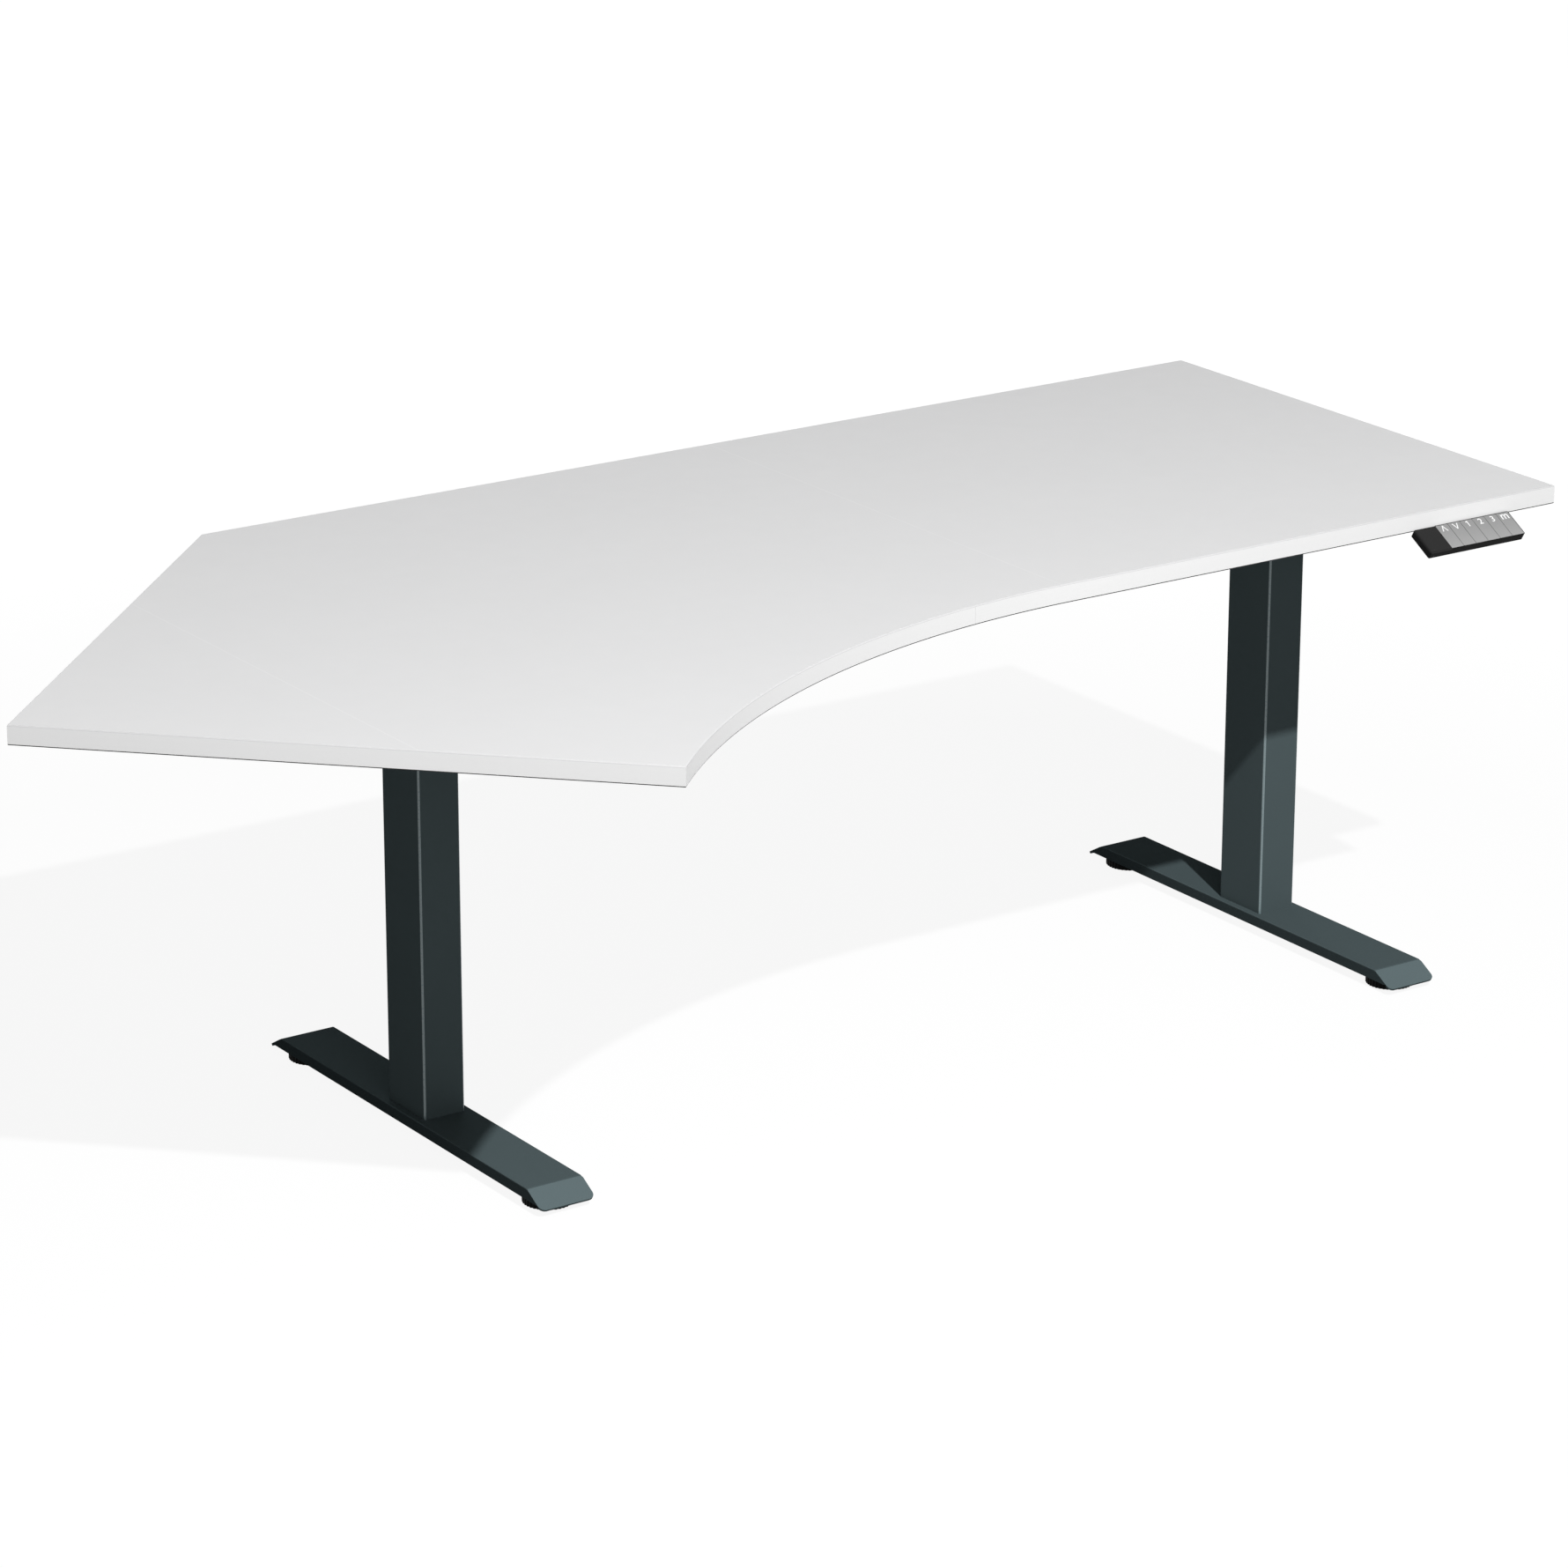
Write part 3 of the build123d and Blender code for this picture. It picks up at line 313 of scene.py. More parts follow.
class Finish:
    """A node material built up from a Principled shader on Object coordinates."""

    def __init__(self, name, base, roughness, **sockets):
        self.material = bpy.data.materials.new(name)
        self.material.use_nodes = True
        self.tree = self.material.node_tree
        self.shader = self.tree.nodes["Principled BSDF"]
        self.base = (*base, 1)
        self.shader.inputs["Base Color"].default_value = self.base
        self.shader.inputs["Roughness"].default_value = roughness
        for socket, value in sockets.items():
            self.shader.inputs[socket.replace("_", " ")].default_value = value
        self.place = self.add("ShaderNodeTexCoord").outputs["Object"]

    def add(self, kind, inputs=(), **settings):
        node = self.tree.nodes.new(kind)
        for key, value in settings.items():
            setattr(node, key, value)
        for socket, value in dict(inputs).items():
            if isinstance(value, bpy.types.NodeSocket):
                self.tree.links.new(value, node.inputs[socket])
            else:
                node.inputs[socket].default_value = value
        return node

    def math(self, operation, a, b=0.0, c=0.0):
        inputs = {0: a, 1: b} if c == 0.0 else {0: a, 1: b, 2: c}
        return self.add("ShaderNodeMath", inputs, operation=operation).outputs[0]

    def stretched(self, scale):
        """Object coordinates stretched along the axes."""
        node = self.add("ShaderNodeMapping", {"Vector": self.place})
        node.inputs["Scale"].default_value = scale
        return node.outputs[0]

    def noise(self, scale, detail=2.0, rough=0.5, place=None):
        inputs = {"Vector": place or self.place, "Scale": scale, "Detail": detail}
        inputs["Roughness"] = rough
        return self.add("ShaderNodeTexNoise", inputs).outputs["Fac"]

    def spread(self, value, low, high, start=0.3, end=0.7):
        """Map a texture value from start to end onto low to high."""
        inputs = {0: value, 1: start, 2: end, 3: low, 4: high}
        return self.add("ShaderNodeMapRange", inputs).outputs[0]

    def paint(self, factor, other):
        """Mix the colour so far with another by a factor."""
        socket = self.shader.inputs["Base Color"]
        so_far = socket.links[0].from_socket if socket.links else self.base
        node = self.add("ShaderNodeMix", data_type="RGBA")
        self.tree.links.new(factor, node.inputs[0])
        if isinstance(so_far, bpy.types.NodeSocket):
            self.tree.links.new(so_far, node.inputs[6])
        else:
            node.inputs[6].default_value = so_far
        node.inputs[7].default_value = (*other, 1)
        self.tree.links.new(node.outputs[2], socket)
        return self

    def mottle(self, scale, amount, detail=3.0, place=None):
        """Let the colour wander a little to lighter and darker."""
        value = self.noise(scale, detail, place=place)
        lighter = [min(1.0, c * (1 + amount)) for c in self.base[:3]]
        darker = [c * (1 - amount) for c in self.base[:3]]
        self.paint(self.spread(value, 0.0, 0.5, 0.5, 0.75), lighter)
        return self.paint(self.spread(value, 0.5, 0.0, 0.25, 0.5), darker)

    def vary_roughness(self, scale, low, high):
        value = self.spread(self.noise(scale), low, high)
        self.tree.links.new(value, self.shader.inputs["Roughness"])
        return self

    def relief(self, height, distance, strength=1.0):
        """Bump, one over the other."""
        socket = self.shader.inputs["Normal"]
        inputs = {"Height": height, "Distance": distance, "Strength": strength}
        if socket.links:
            inputs["Normal"] = socket.links[0].from_socket
        node = self.add("ShaderNodeBump", inputs)
        self.tree.links.new(node.outputs[0], socket)
        return self

    def axis(self, name):
        """One of the Object coordinates."""
        return self.add("ShaderNodeSeparateXYZ", {0: self.place}).outputs[name]


def faint_line(finish, coordinate, at, half):
    """A factor that is one on a hairline across a coordinate and zero elsewhere."""
    apart = finish.math("ABSOLUTE", finish.math("SUBTRACT", coordinate, at))
    return finish.spread(apart, 1.0, 0.0, half * 0.6, half * 1.4)


def make_finishes():
    """Every material of the desk, by name."""
    tone = bpy.context.scene.desk_colours
    made = {}

    top = Finish("pale_melamine", tone.laminate, 0.46, Specular_IOR_Level=0.35)
    top.mottle(950, 0.012).mottle(7, 0.008)
    # painted highlight: two lighter hairlines across the top
    lighter = [c * 1.045 for c in tone.laminate]
    for painted_line in LAMINATE_HIGHLIGHT_LINES:
        top.paint(faint_line(top, top.axis("X"), painted_line, 0.0009), lighter)
    top.vary_roughness(30, 0.43, 0.50)
    top.relief(top.noise(1600, 2), 0.00002, 0.5).relief(top.noise(260, 1), 0.00003, 0.3)
    made["melamine"] = top

    band = Finish("white_edge_band", tone.band, 0.40, Specular_IOR_Level=0.35)
    band.mottle(600, 0.010).vary_roughness(60, 0.37, 0.44)
    band.paint(faint_line(band, band.axis("X"), BAND_SEAM, 0.0007), [c * 0.90 for c in tone.band])
    band.relief(band.noise(120, 2, place=band.stretched((1, 1, 6))), 0.00003, 0.35)
    made["band"] = band

    # painted shade: the melamine 0.88 times darker on the band's upper rounding, which faces the
    # lamp
    lap = Finish("melamine_lap", [0.88 * c for c in tone.laminate], 0.55, Specular_IOR_Level=0.1)
    lap.mottle(950, 0.012)
    made["lap"] = lap

    # painted shade: a near-black line along the band's lower rounding, which faces down
    painted_line = Finish("band_joint", [0.05 * c for c in tone.band], 0.6, Specular_IOR_Level=0.1)
    painted_line.mottle(300, 0.15)
    made["joint"] = painted_line

    # the plain coat, and copies painted lighter and darker that stand in for light and shade
    for name, tint in PAINTED_LIGHT_TINTS.items():
        paint = [tint * c for c in tone.paint]
        coat = Finish(f"anthracite_{name}", paint, 0.5, Specular_IOR_Level=0.0, Metallic=0.1)
        coat.shader.inputs["Specular Tint"].default_value = (0.1, 0.1, 0.1, 1)
        coat.mottle(1400, 0.05).mottle(9, 0.03)
        coat.vary_roughness(420, 0.45, 0.55)
        coat.relief(coat.noise(900, 2), 0.00003, 0.55).relief(coat.noise(170, 1), 0.00005, 0.25)
        made[name] = coat

    # painted highlight for the columns' rounded corners: the coat 2.2 times lighter, and glossier
    pale = [2.2 * c for c in tone.paint]
    corner_highlight = Finish("anthracite_edge", pale, 0.30, Specular_IOR_Level=0.9)
    corner_highlight.mottle(1400, 0.05).vary_roughness(420, 0.25, 0.36)
    made["edge"] = corner_highlight

    moulded = Finish("black_moulding", tone.moulding, 0.46, Specular_IOR_Level=0.03)
    moulded.mottle(1800, 0.12).vary_roughness(300, 0.42, 0.52)
    moulded.relief(moulded.noise(2600, 3), 0.00003, 0.6)
    made["moulding"] = moulded

    key = Finish("grey_key_cap", tone.key, 0.42, Specular_IOR_Level=0.35)
    # painted shade on the caps' upper part: they are painted up to 1.45 times lighter towards
    # their lower end
    top_z, low_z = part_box("key_up")[1].z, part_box("key_up")[0].z
    down = key.spread(key.axis("Z"), 1.0, 0.0, low_z, top_z)
    key.paint(down, [min(1.0, c * 1.45) for c in tone.key]).mottle(1500, 0.04)
    key.vary_roughness(500, 0.38, 0.46).relief(key.noise(2400, 2), 0.00002, 0.5)
    made["key"] = key

    sign = Finish("key_print", tone.sign, 0.5, Specular_IOR_Level=0.3)
    sign.mottle(2500, 0.04)
    made["sign"] = sign

    window = Finish("smoked_window", tone.window, 0.16, Specular_IOR_Level=0.12)
    window.mottle(900, 0.05).vary_roughness(90, 0.13, 0.20)
    made["window"] = window

    pad = Finish("black_rubber", (0.020, 0.020, 0.020), 0.75, Specular_IOR_Level=0.25)
    pad.mottle(700, 0.15).relief(pad.noise(1500, 3), 0.00004, 0.6)
    made["rubber"] = pad

    zinc = Finish("bright_zinc", (0.52, 0.53, 0.55), 0.32, Metallic=1.0)
    zinc.mottle(260, 0.10).vary_roughness(700, 0.26, 0.42)
    zinc.relief(zinc.noise(900, 2), 0.00002, 0.5)
    made["zinc"] = zinc

    drawn = Finish("drawn_steel", (0.36, 0.37, 0.38), 0.30, Metallic=1.0)
    drawn.mottle(400, 0.08, place=drawn.stretched((1, 1, 0.02))).vary_roughness(300, 0.26, 0.38)
    drawn.relief(drawn.noise(1800, 2, place=drawn.stretched((1, 1, 0.03))), 0.00002, 0.5)
    made["steel"] = drawn

    cast = Finish("cast_alloy", (0.42, 0.43, 0.45), 0.52, Metallic=1.0)
    cast.mottle(150, 0.08).vary_roughness(400, 0.46, 0.62)
    cast.relief(cast.noise(700, 4), 0.00010, 0.5)
    made["alloy"] = cast

    bronze = Finish("wheel_bronze", (0.50, 0.33, 0.13), 0.34, Metallic=1.0)
    bronze.mottle(300, 0.10).vary_roughness(500, 0.30, 0.42)
    made["bronze"] = bronze

    can = Finish("black_lacquer", (0.018, 0.018, 0.019), 0.34, Specular_IOR_Level=0.5)
    can.mottle(500, 0.10).relief(can.noise(300, 2), 0.00005, 0.4)
    made["lacquer"] = can

    board = Finish("green_circuit_board", (0.012, 0.090, 0.035), 0.40, Specular_IOR_Level=0.5)
    board.mottle(350, 0.20)
    board.relief(board.noise(500, 2, place=board.stretched((1, 4, 1))), 0.00005, 0.5)
    made["board"] = board

    return {name: finish.material for name, finish in made.items()}


# coat tints: the tongues painted lighter as a painted highlight, the flanges painted darker as
# painted shade
PAINTED_LIGHT_TINTS = {"powder_coat": 1.0, "tongue": 1.38, "flange": 0.55}
LAMINATE_HIGHLIGHT_LINES = (0.2648, -0.7367)  # painted highlight: lighter hairlines across the top, at these x
BAND_SEAM = 0.122  # where the edge band's roll ends, on the sweep
finishes = {}


# --- Desk pieces ---------------------------------------------------------------------


def sweep():
    """Centre and radius of the swept front edge, and the outline's corners round it."""
    depth = bpy.context.scene.desk_sizes.depth
    step = BAND_HIGH.y
    tangent = Vector((BAND_HIGH.x - depth, BAND_HIGH.y - depth))
    radius = depth * sqrt(2)
    centre = tangent - Vector((0, radius))
    wing_front = Vector((BAND_LOW.x + step, BAND_LOW.y))
    corners = [
        Vector((BAND_HIGH.x, BAND_HIGH.y - depth)),
        Vector((BAND_HIGH.x, BAND_HIGH.y)),
        Vector((BAND_LOW.x + step, BAND_HIGH.y)),
        Vector((BAND_LOW.x, BAND_LOW.y + step)),
    ]
    return centre, radius, tangent, wing_front, corners


def lay_outline(name):
    """The top's outline as one face at its underside, in edit mode."""
    centre, radius, tangent, wing_front, corners = sweep()
    start()
    bpy.ops.mesh.primitive_circle_add(
        vertices=360, radius=radius, location=(*centre, BAND_LOW.z), fill_type="NOTHING"
    )
    piece = settle(name)
    bpy.ops.object.mode_set(mode="EDIT")

    def off_sweep(vertex):
        turn = degrees(atan2(vertex.co.y - centre.y, vertex.co.x - centre.x))
        return not 89.5 < turn < 135.5

    choose("VERT", off_sweep)
    bpy.ops.mesh.delete(type="VERT")
    here = tangent
    choose("VERT", lambda v: (v.co.xy - tangent).length < 1e-4)
    for corner in corners:
        step = corner - here
        bpy.ops.mesh.extrude_vertices_move(TRANSFORM_OT_translate={"value": (*step, 0)})
        here = corner
    choose("VERT", lambda v: min((v.co.xy - p).length for p in (corners[-1], wing_front)) < 1e-4)
    bpy.ops.mesh.edge_face_add()
    bpy.ops.mesh.select_all(action="SELECT")
    bpy.ops.mesh.edge_face_add()
    choose("FACE", lambda f: True)
    bpy.ops.mesh.inset(thickness=BAND_T, depth=0, use_even_offset=True)
    return piece


def run_inside(point):
    """How far a point lies inside the top's outline, in metres."""
    centre, radius, tangent, wing_front, corners = sweep()
    ring = [tangent, *corners, wing_front]
    away = []
    for a, b in zip(ring, ring[1:]):
        run = (b - a).normalized()
        away.append(abs((point - a).cross(run)))
    if tangent.x > point.x > wing_front.x:
        away.append(abs((point - centre).length - radius))
    return min(away)


class DESK_OT_top(bpy.types.Operator):
    """Make the board and the edge band of the top"""

    bl_idname = "desk.top"
    bl_label = "Top"

    def execute(self, context):
        tall = BAND_HIGH.z - BAND_LOW.z
        board = lay_outline("top_board")
        bpy.ops.mesh.select_all(action="INVERT")
        bpy.ops.mesh.delete(type="FACE")
        choose("FACE", lambda f: True)
        pull(z=tall)
        leave(board)
        stands_for(board, "top_frame", finishes["melamine"], "top_laminate", "desktop_board")

        band = lay_outline("top_edge_band")
        bpy.ops.mesh.delete(type="ONLY_FACE")
        choose("FACE", lambda f: True)
        pull(z=tall)
        for z in (BAND_LOW.z, BAND_HIGH.z):
            bevel(
                lambda e: level(e, z) and all(run_inside(v.co.xy) < 2e-5 for v in e.verts),
                context.scene.desk_sizes.band_round, 4,
            )
        leave(band)
        stands_for(band, "top_frame", finishes["band"], "edge_plastic", "edge_band")
        # the decor laps over the band's upper rounding, painted darker as painted shade, and a
        # near-black line of painted shade runs along the lower one
        trim(band, finishes["melamine"], lambda f: f.normal.z > 0.98)
        trim(band, finishes["lap"], lambda f: 0.02 < f.normal.z < 0.98)
        trim(band, finishes["joint"], lambda f: -0.98 < f.normal.z < -0.02)
        return {"FINISHED"}


class DESK_OT_columns(bpy.types.Operator):
    """Make the outer tubes of the two columns"""

    bl_idname = "desk.columns"
    bl_label = "Columns"

    def execute(self, context):
        sizes = context.scene.desk_sizes
        for side in SIDES:
            low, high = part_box(f"{side}_outer_tube")
            tube = block(f"{side}_column", low, high)
            bevel(lambda e: along(e, 2), sizes.tube_corner, 8)
            choose("FACE", lambda f: facing(f, 2, 1))
            bpy.ops.mesh.inset(thickness=sizes.tube_wall, use_even_offset=True)
            pull(z=low.z + 3 * sizes.tube_wall - high.z)
            bevel(lambda e: level(e, high.z), 0.2 * sizes.tube_wall, 3)
            leave(tube)
            stands_for(
                tube, f"{side}_base", finishes["powder_coat"], "frame_paint", f"{side}_outer_tube"
            )
            # a lighter, glossier coat along the middle of each rounded corner: a painted highlight
            trim(tube, finishes["edge"], self.on_corner)
        return {"FINISHED"}

    def on_corner(self, face):
        """Whether a face lies in the middle of a rounded upright corner, where the highlight is
        painted.
        """
        n = face.normal
        return abs(n.z) < 0.1 and min(abs(n.x), abs(n.y)) > 0.42


PLATE_T = 0.005  # plate under the column, inside the foot
NUT_R, NUT_T = 0.011, 0.011  # nut blocks over the glides
SMALL_ROUND = 0.0008  # rounding of small turned and cut parts


class DESK_OT_feet(bpy.types.Operator):
    """Make the two feet from bent sheet, with their nut blocks"""

    bl_idname = "desk.feet"
    bl_label = "Feet"

    def execute(self, context):
        sizes = context.scene.desk_sizes
        for side in SIDES:
            low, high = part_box(f"{side}_foot")
            mid = (low + high) / 2
            half_w, flat = (high.x - low.x) / 2, sizes.foot_flat
            run = (high.y - low.y) / 2 - flat
            slope = self.slope(high.z - low.z, run, sizes.sheet)
            drop = run * slope
            start()
            bpy.ops.mesh.primitive_plane_add(size=1, location=(mid.x, mid.y, high.z))
            context.object.scale = (2 * half_w, 2 * flat, 1)
            foot = settle(f"{side}_foot_sheet")
            bpy.ops.object.mode_set(mode="EDIT")
            for sign in (-1, 1):
                edge_y = mid.y + sign * flat
                choose("EDGE", lambda e: all(near(v.co.y, edge_y) for v in e.verts))
                pull(y=sign * run, z=-drop)
            bevel(
                lambda e: along(e, 0) and near(abs(e.verts[0].co.y - mid.y), flat),
                sizes.tongue_bend, 6,
            )
            # the flanges run on under the tongues until they meet them
            reach = flat + (sizes.flange - 1.05 * sizes.sheet) / slope
            for sign in (-1, 1):
                bpy.ops.mesh.select_all(action="SELECT")
                bpy.ops.mesh.bisect(plane_co=(0, mid.y + sign * reach, 0), plane_no=(0, 1, 0))

            def at_side(edge):
                return not along(edge, 0) and all(
                    near(abs(v.co.x - mid.x), half_w) and abs(v.co.y - mid.y) < reach + 1e-4
                    for v in edge.verts
                )

            choose("EDGE", at_side)
            pull(z=-sizes.flange)
            bpy.ops.transform.resize(
                value=(1, 1, 0), center_override=(0, 0, high.z - sizes.flange)
            )
            bevel(
                lambda e: at_side(e)
                and min(v.co.z for v in e.verts) > high.z - 0.5 * sizes.flange
                and 0.00002 < abs(e.verts[0].co.y - e.verts[1].co.y)
                and max(abs(v.co.y - mid.y) for v in e.verts) < flat + 0.003,
                sizes.foot_bend, 5,
            )
            choose("VERT", lambda v: near(v.co.z, high.z - drop))
            bpy.ops.mesh.bevel(offset=sizes.tongue_corner, segments=6, affect="VERTICES")
            bpy.ops.mesh.select_all(action="SELECT")
            bpy.ops.mesh.normals_make_consistent(inside=False)
            crown = max(bmesh.from_edit_mesh(foot.data).faces, key=lambda f: f.calc_area())
            if crown.normal.z < 0:
                bpy.ops.mesh.flip_normals()
            pick(foot)
            apply(foot, "SOLIDIFY", thickness=sizes.sheet, offset=-1, use_even_offset=True)
            apply(
                foot, "BEVEL", width=sizes.sheet_edge, segments=3,
                limit_method="ANGLE", angle_limit=radians(50),
            )
            bpy.ops.object.shade_smooth_by_angle(angle=radians(40))
            apply(foot, "WEIGHTED_NORMAL", keep_sharp=True)
            parts = [foot, *self.under_parts(side, mid, half_w, high.z - sizes.sheet, sizes)]
            foot = join(parts)
            coat = finishes["powder_coat"]
            stands_for(foot, f"{side}_base", coat, "frame_paint", f"{side}_foot")

            def on_flange(face):
                outside = abs(face.calc_center_median().x - mid.x) > half_w - 0.5 * sizes.sheet
                return outside and abs(face.normal.x) > 0.75

            # the tongues get a lighter coat, a painted highlight, and the flanges' outer sides a
            # darker one, painted shade
            trim(foot, finishes["tongue"], lambda f: f.normal.z > 0.2 and abs(f.normal.y) > 0.3)
            trim(foot, finishes["flange"], on_flange)
        return {"FINISHED"}

    def slope(self, tall, run, sheet):
        """Fall of a tongue over its run, from the foot's height with the sheet's end."""
        slope = 0.5
        for _ in range(30):
            slope = (tall - sheet / sqrt(1 + slope**2)) / run
        return slope

    def under_parts(self, side, mid, half_w, under, sizes):
        """Plate under the column and the nut blocks over the glides."""
        plate_half = Vector((half_w - 1.05 * sizes.sheet, 20 * sizes.sheet, PLATE_T / 2))
        centre = Vector((mid.x, mid.y, under - PLATE_T / 2))
        plate = block("under_plate", centre - plate_half, centre + plate_half)
        bevel(lambda e: level(e, under - PLATE_T), SMALL_ROUND, 2)
        parts = [leave(plate)]
        for end in ENDS:
            place = middle(f"{side}_{end}_pad")
            nut = round_bar("nut_block", (place.x, place.y, under - NUT_T), NUT_R, NUT_T, 48)
            bevel(lambda e: level(e, under - NUT_T), SMALL_ROUND, 2)
            parts.append(leave(nut))
        return parts


WHEEL_T, WHEEL_BEND = 0.0135, 0.0006  # height of the glide's wheel, and its lower rounding
DISH_IN, DISH_DEEP, DISH_STEP = 0.0035, 0.0008, 0.0015  # shallow dish in the wheel's top
PAD_ROOM = 0.0008  # clearance of the pad in the wheel's underside
SCALLOP_STEPS = 8  # corners of the rim for each scallop
SCALLOP = (1.0, 0.87, 0.44)  # depth of a scallop at its middle and at the corners beside it
RIM_FROM = 0.0285  # the scalloped rim's distance from the axis
STUD_R, STUD_IN = 0.005, 0.001  # stud, and how far it starts inside the wheel


class DESK_OT_glides(bpy.types.Operator):
    """Make one levelling glide with its stud, and copy it to the four places"""

    bl_idname = "desk.glides"
    bl_label = "Levelling glides"

    def execute(self, context):
        sizes = context.scene.desk_sizes
        names = [f"{side}_{end}_glide" for side in SIDES for end in ENDS]
        low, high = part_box(names[0])
        axis = middle(names[0].replace("glide", "pad"))
        places = [middle(name.replace("glide", "pad")) for name in names]
        pad_low, pad_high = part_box(names[0].replace("glide", "pad"))
        radius = (middle(names[0]).x - low.x) * 1.001
        rim_top = low.z + WHEEL_T
        room = radius - WHEEL_BEND - (pad_high.x - pad_low.x) / 2 - PAD_ROOM
        count = sizes.knurls * SCALLOP_STEPS
        wheel = round_bar("wheel", (axis.x, axis.y, low.z), radius, rim_top - low.z, count)
        bevel(lambda e: level(e, low.z), WHEEL_BEND, 3)
        bevel(lambda e: level(e, rim_top), 0.001, 3)
        choose("FACE", lambda f: facing(f, 2, 1) and f.calc_area() > 0.001)
        bpy.ops.mesh.inset(thickness=DISH_IN)
        pull(z=-DISH_DEEP)
        bpy.ops.mesh.inset(thickness=DISH_STEP)
        choose("FACE", lambda f: facing(f, 2, -1) and f.calc_area() > 0.0005)
        bpy.ops.mesh.inset(thickness=room)
        pull(z=pad_high.z + 0.0002 - low.z)
        for phase, share in enumerate(SCALLOP):
            self.press_rim(axis, count, phase, 1 - share * sizes.knurl / radius)
        leave(wheel, 35)
        wheel.data.materials.append(finishes["moulding"])

        stud_low = rim_top - STUD_IN
        stud = round_bar("stud", (axis.x, axis.y, stud_low), STUD_R, high.z - stud_low, 40)
        bevel(lambda e: level(e, high.z), SMALL_ROUND, 2)
        leave(stud)
        stud.data.materials.append(finishes["zinc"])
        first = join([wheel, stud])
        for name, place in zip(names, places):
            pick(first)
            bpy.ops.object.duplicate(linked=False)
            context.object.location = place - axis
            context.object.location.z = 0
            glide = settle(f"{name}_wheel")
            stands_for(glide, f"{name}_wheel", None, "black_plastic", name)
        pick(first)
        bpy.ops.object.delete()
        return {"FINISHED"}

    def press_rim(self, axis, count, phase, factor):
        """Scale the rim's vertices of one phase of the scallops towards the axis."""

        def of_phase(vertex):
            out = vertex.co.xy - axis.xy
            if out.length < RIM_FROM:
                return False
            index = round(atan2(out.y, out.x) / (2 * pi) * count)
            return min(index % SCALLOP_STEPS, -index % SCALLOP_STEPS) == phase

        choose("VERT", of_phase)
        bpy.ops.transform.resize(value=(factor, factor, 1), center_override=(axis.x, axis.y, 0))


# --- Handset -------------------------------------------------------------------------


CASE_CORNER = 0.002  # corner radius of the handset
FINE_EDGE = 0.00025  # edge rounding of the case, and the gap round the keys
KEY_WELL = 0.0044  # depth of the well that the keys sit in
WINDOW_BEVEL = 0.0013
WINDOW_FRAME = 0.0009  # from the window's bevel to its printed frame
WINDOW_LINE = (0.00015, -0.0001)  # width and depth of the frame's line
KEY_T = 0.003  # height of a key cap
INK = 0.00003  # thickness of the print on the keys
STROKE, CHEVRON_W = 0.16, 0.95  # stroke and width of the signs, as shares of their height
SIGN_AT = 0.165  # a sign's middle, as a share of the key from its upper end


def slope_frame():
    """The handset's own frame: origin at its upper back left corner, y up the slope."""
    low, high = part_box("handset_housing")
    axis = Vector(joint("up_key_press")["axis"])
    tilt = atan2(axis.y, -axis.z)
    dy, dz = high.y - low.y, high.z - low.z
    spread = cos(tilt) ** 2 - sin(tilt) ** 2
    deep = (dy * cos(tilt) - dz * sin(tilt)) / spread
    thick = (dz * cos(tilt) - dy * sin(tilt)) / spread
    place = Vector((low.x, low.y + deep * cos(tilt), high.z))
    return Matrix.Translation(place) @ Matrix.Rotation(tilt, 4, "X"), deep, thick


def local_box(node):
    """Limits of a node's box along the handset's own directions, from its mesh."""
    turned, _, _ = slope_frame()
    back = turned.inverted()
    points = [back @ v.co for v in frame["nodes"][node].data.vertices]
    low = Vector([min(p[i] for p in points) for i in range(3)])
    high = Vector([max(p[i] for p in points) for i in range(3)])
    return low, high


def set_on_slope(piece):
    """Put a piece made in the handset's own frame into its place."""
    pick(piece)
    piece.matrix_world = slope_frame()[0]
    bpy.ops.object.transform_apply(location=True, rotation=True, scale=True)


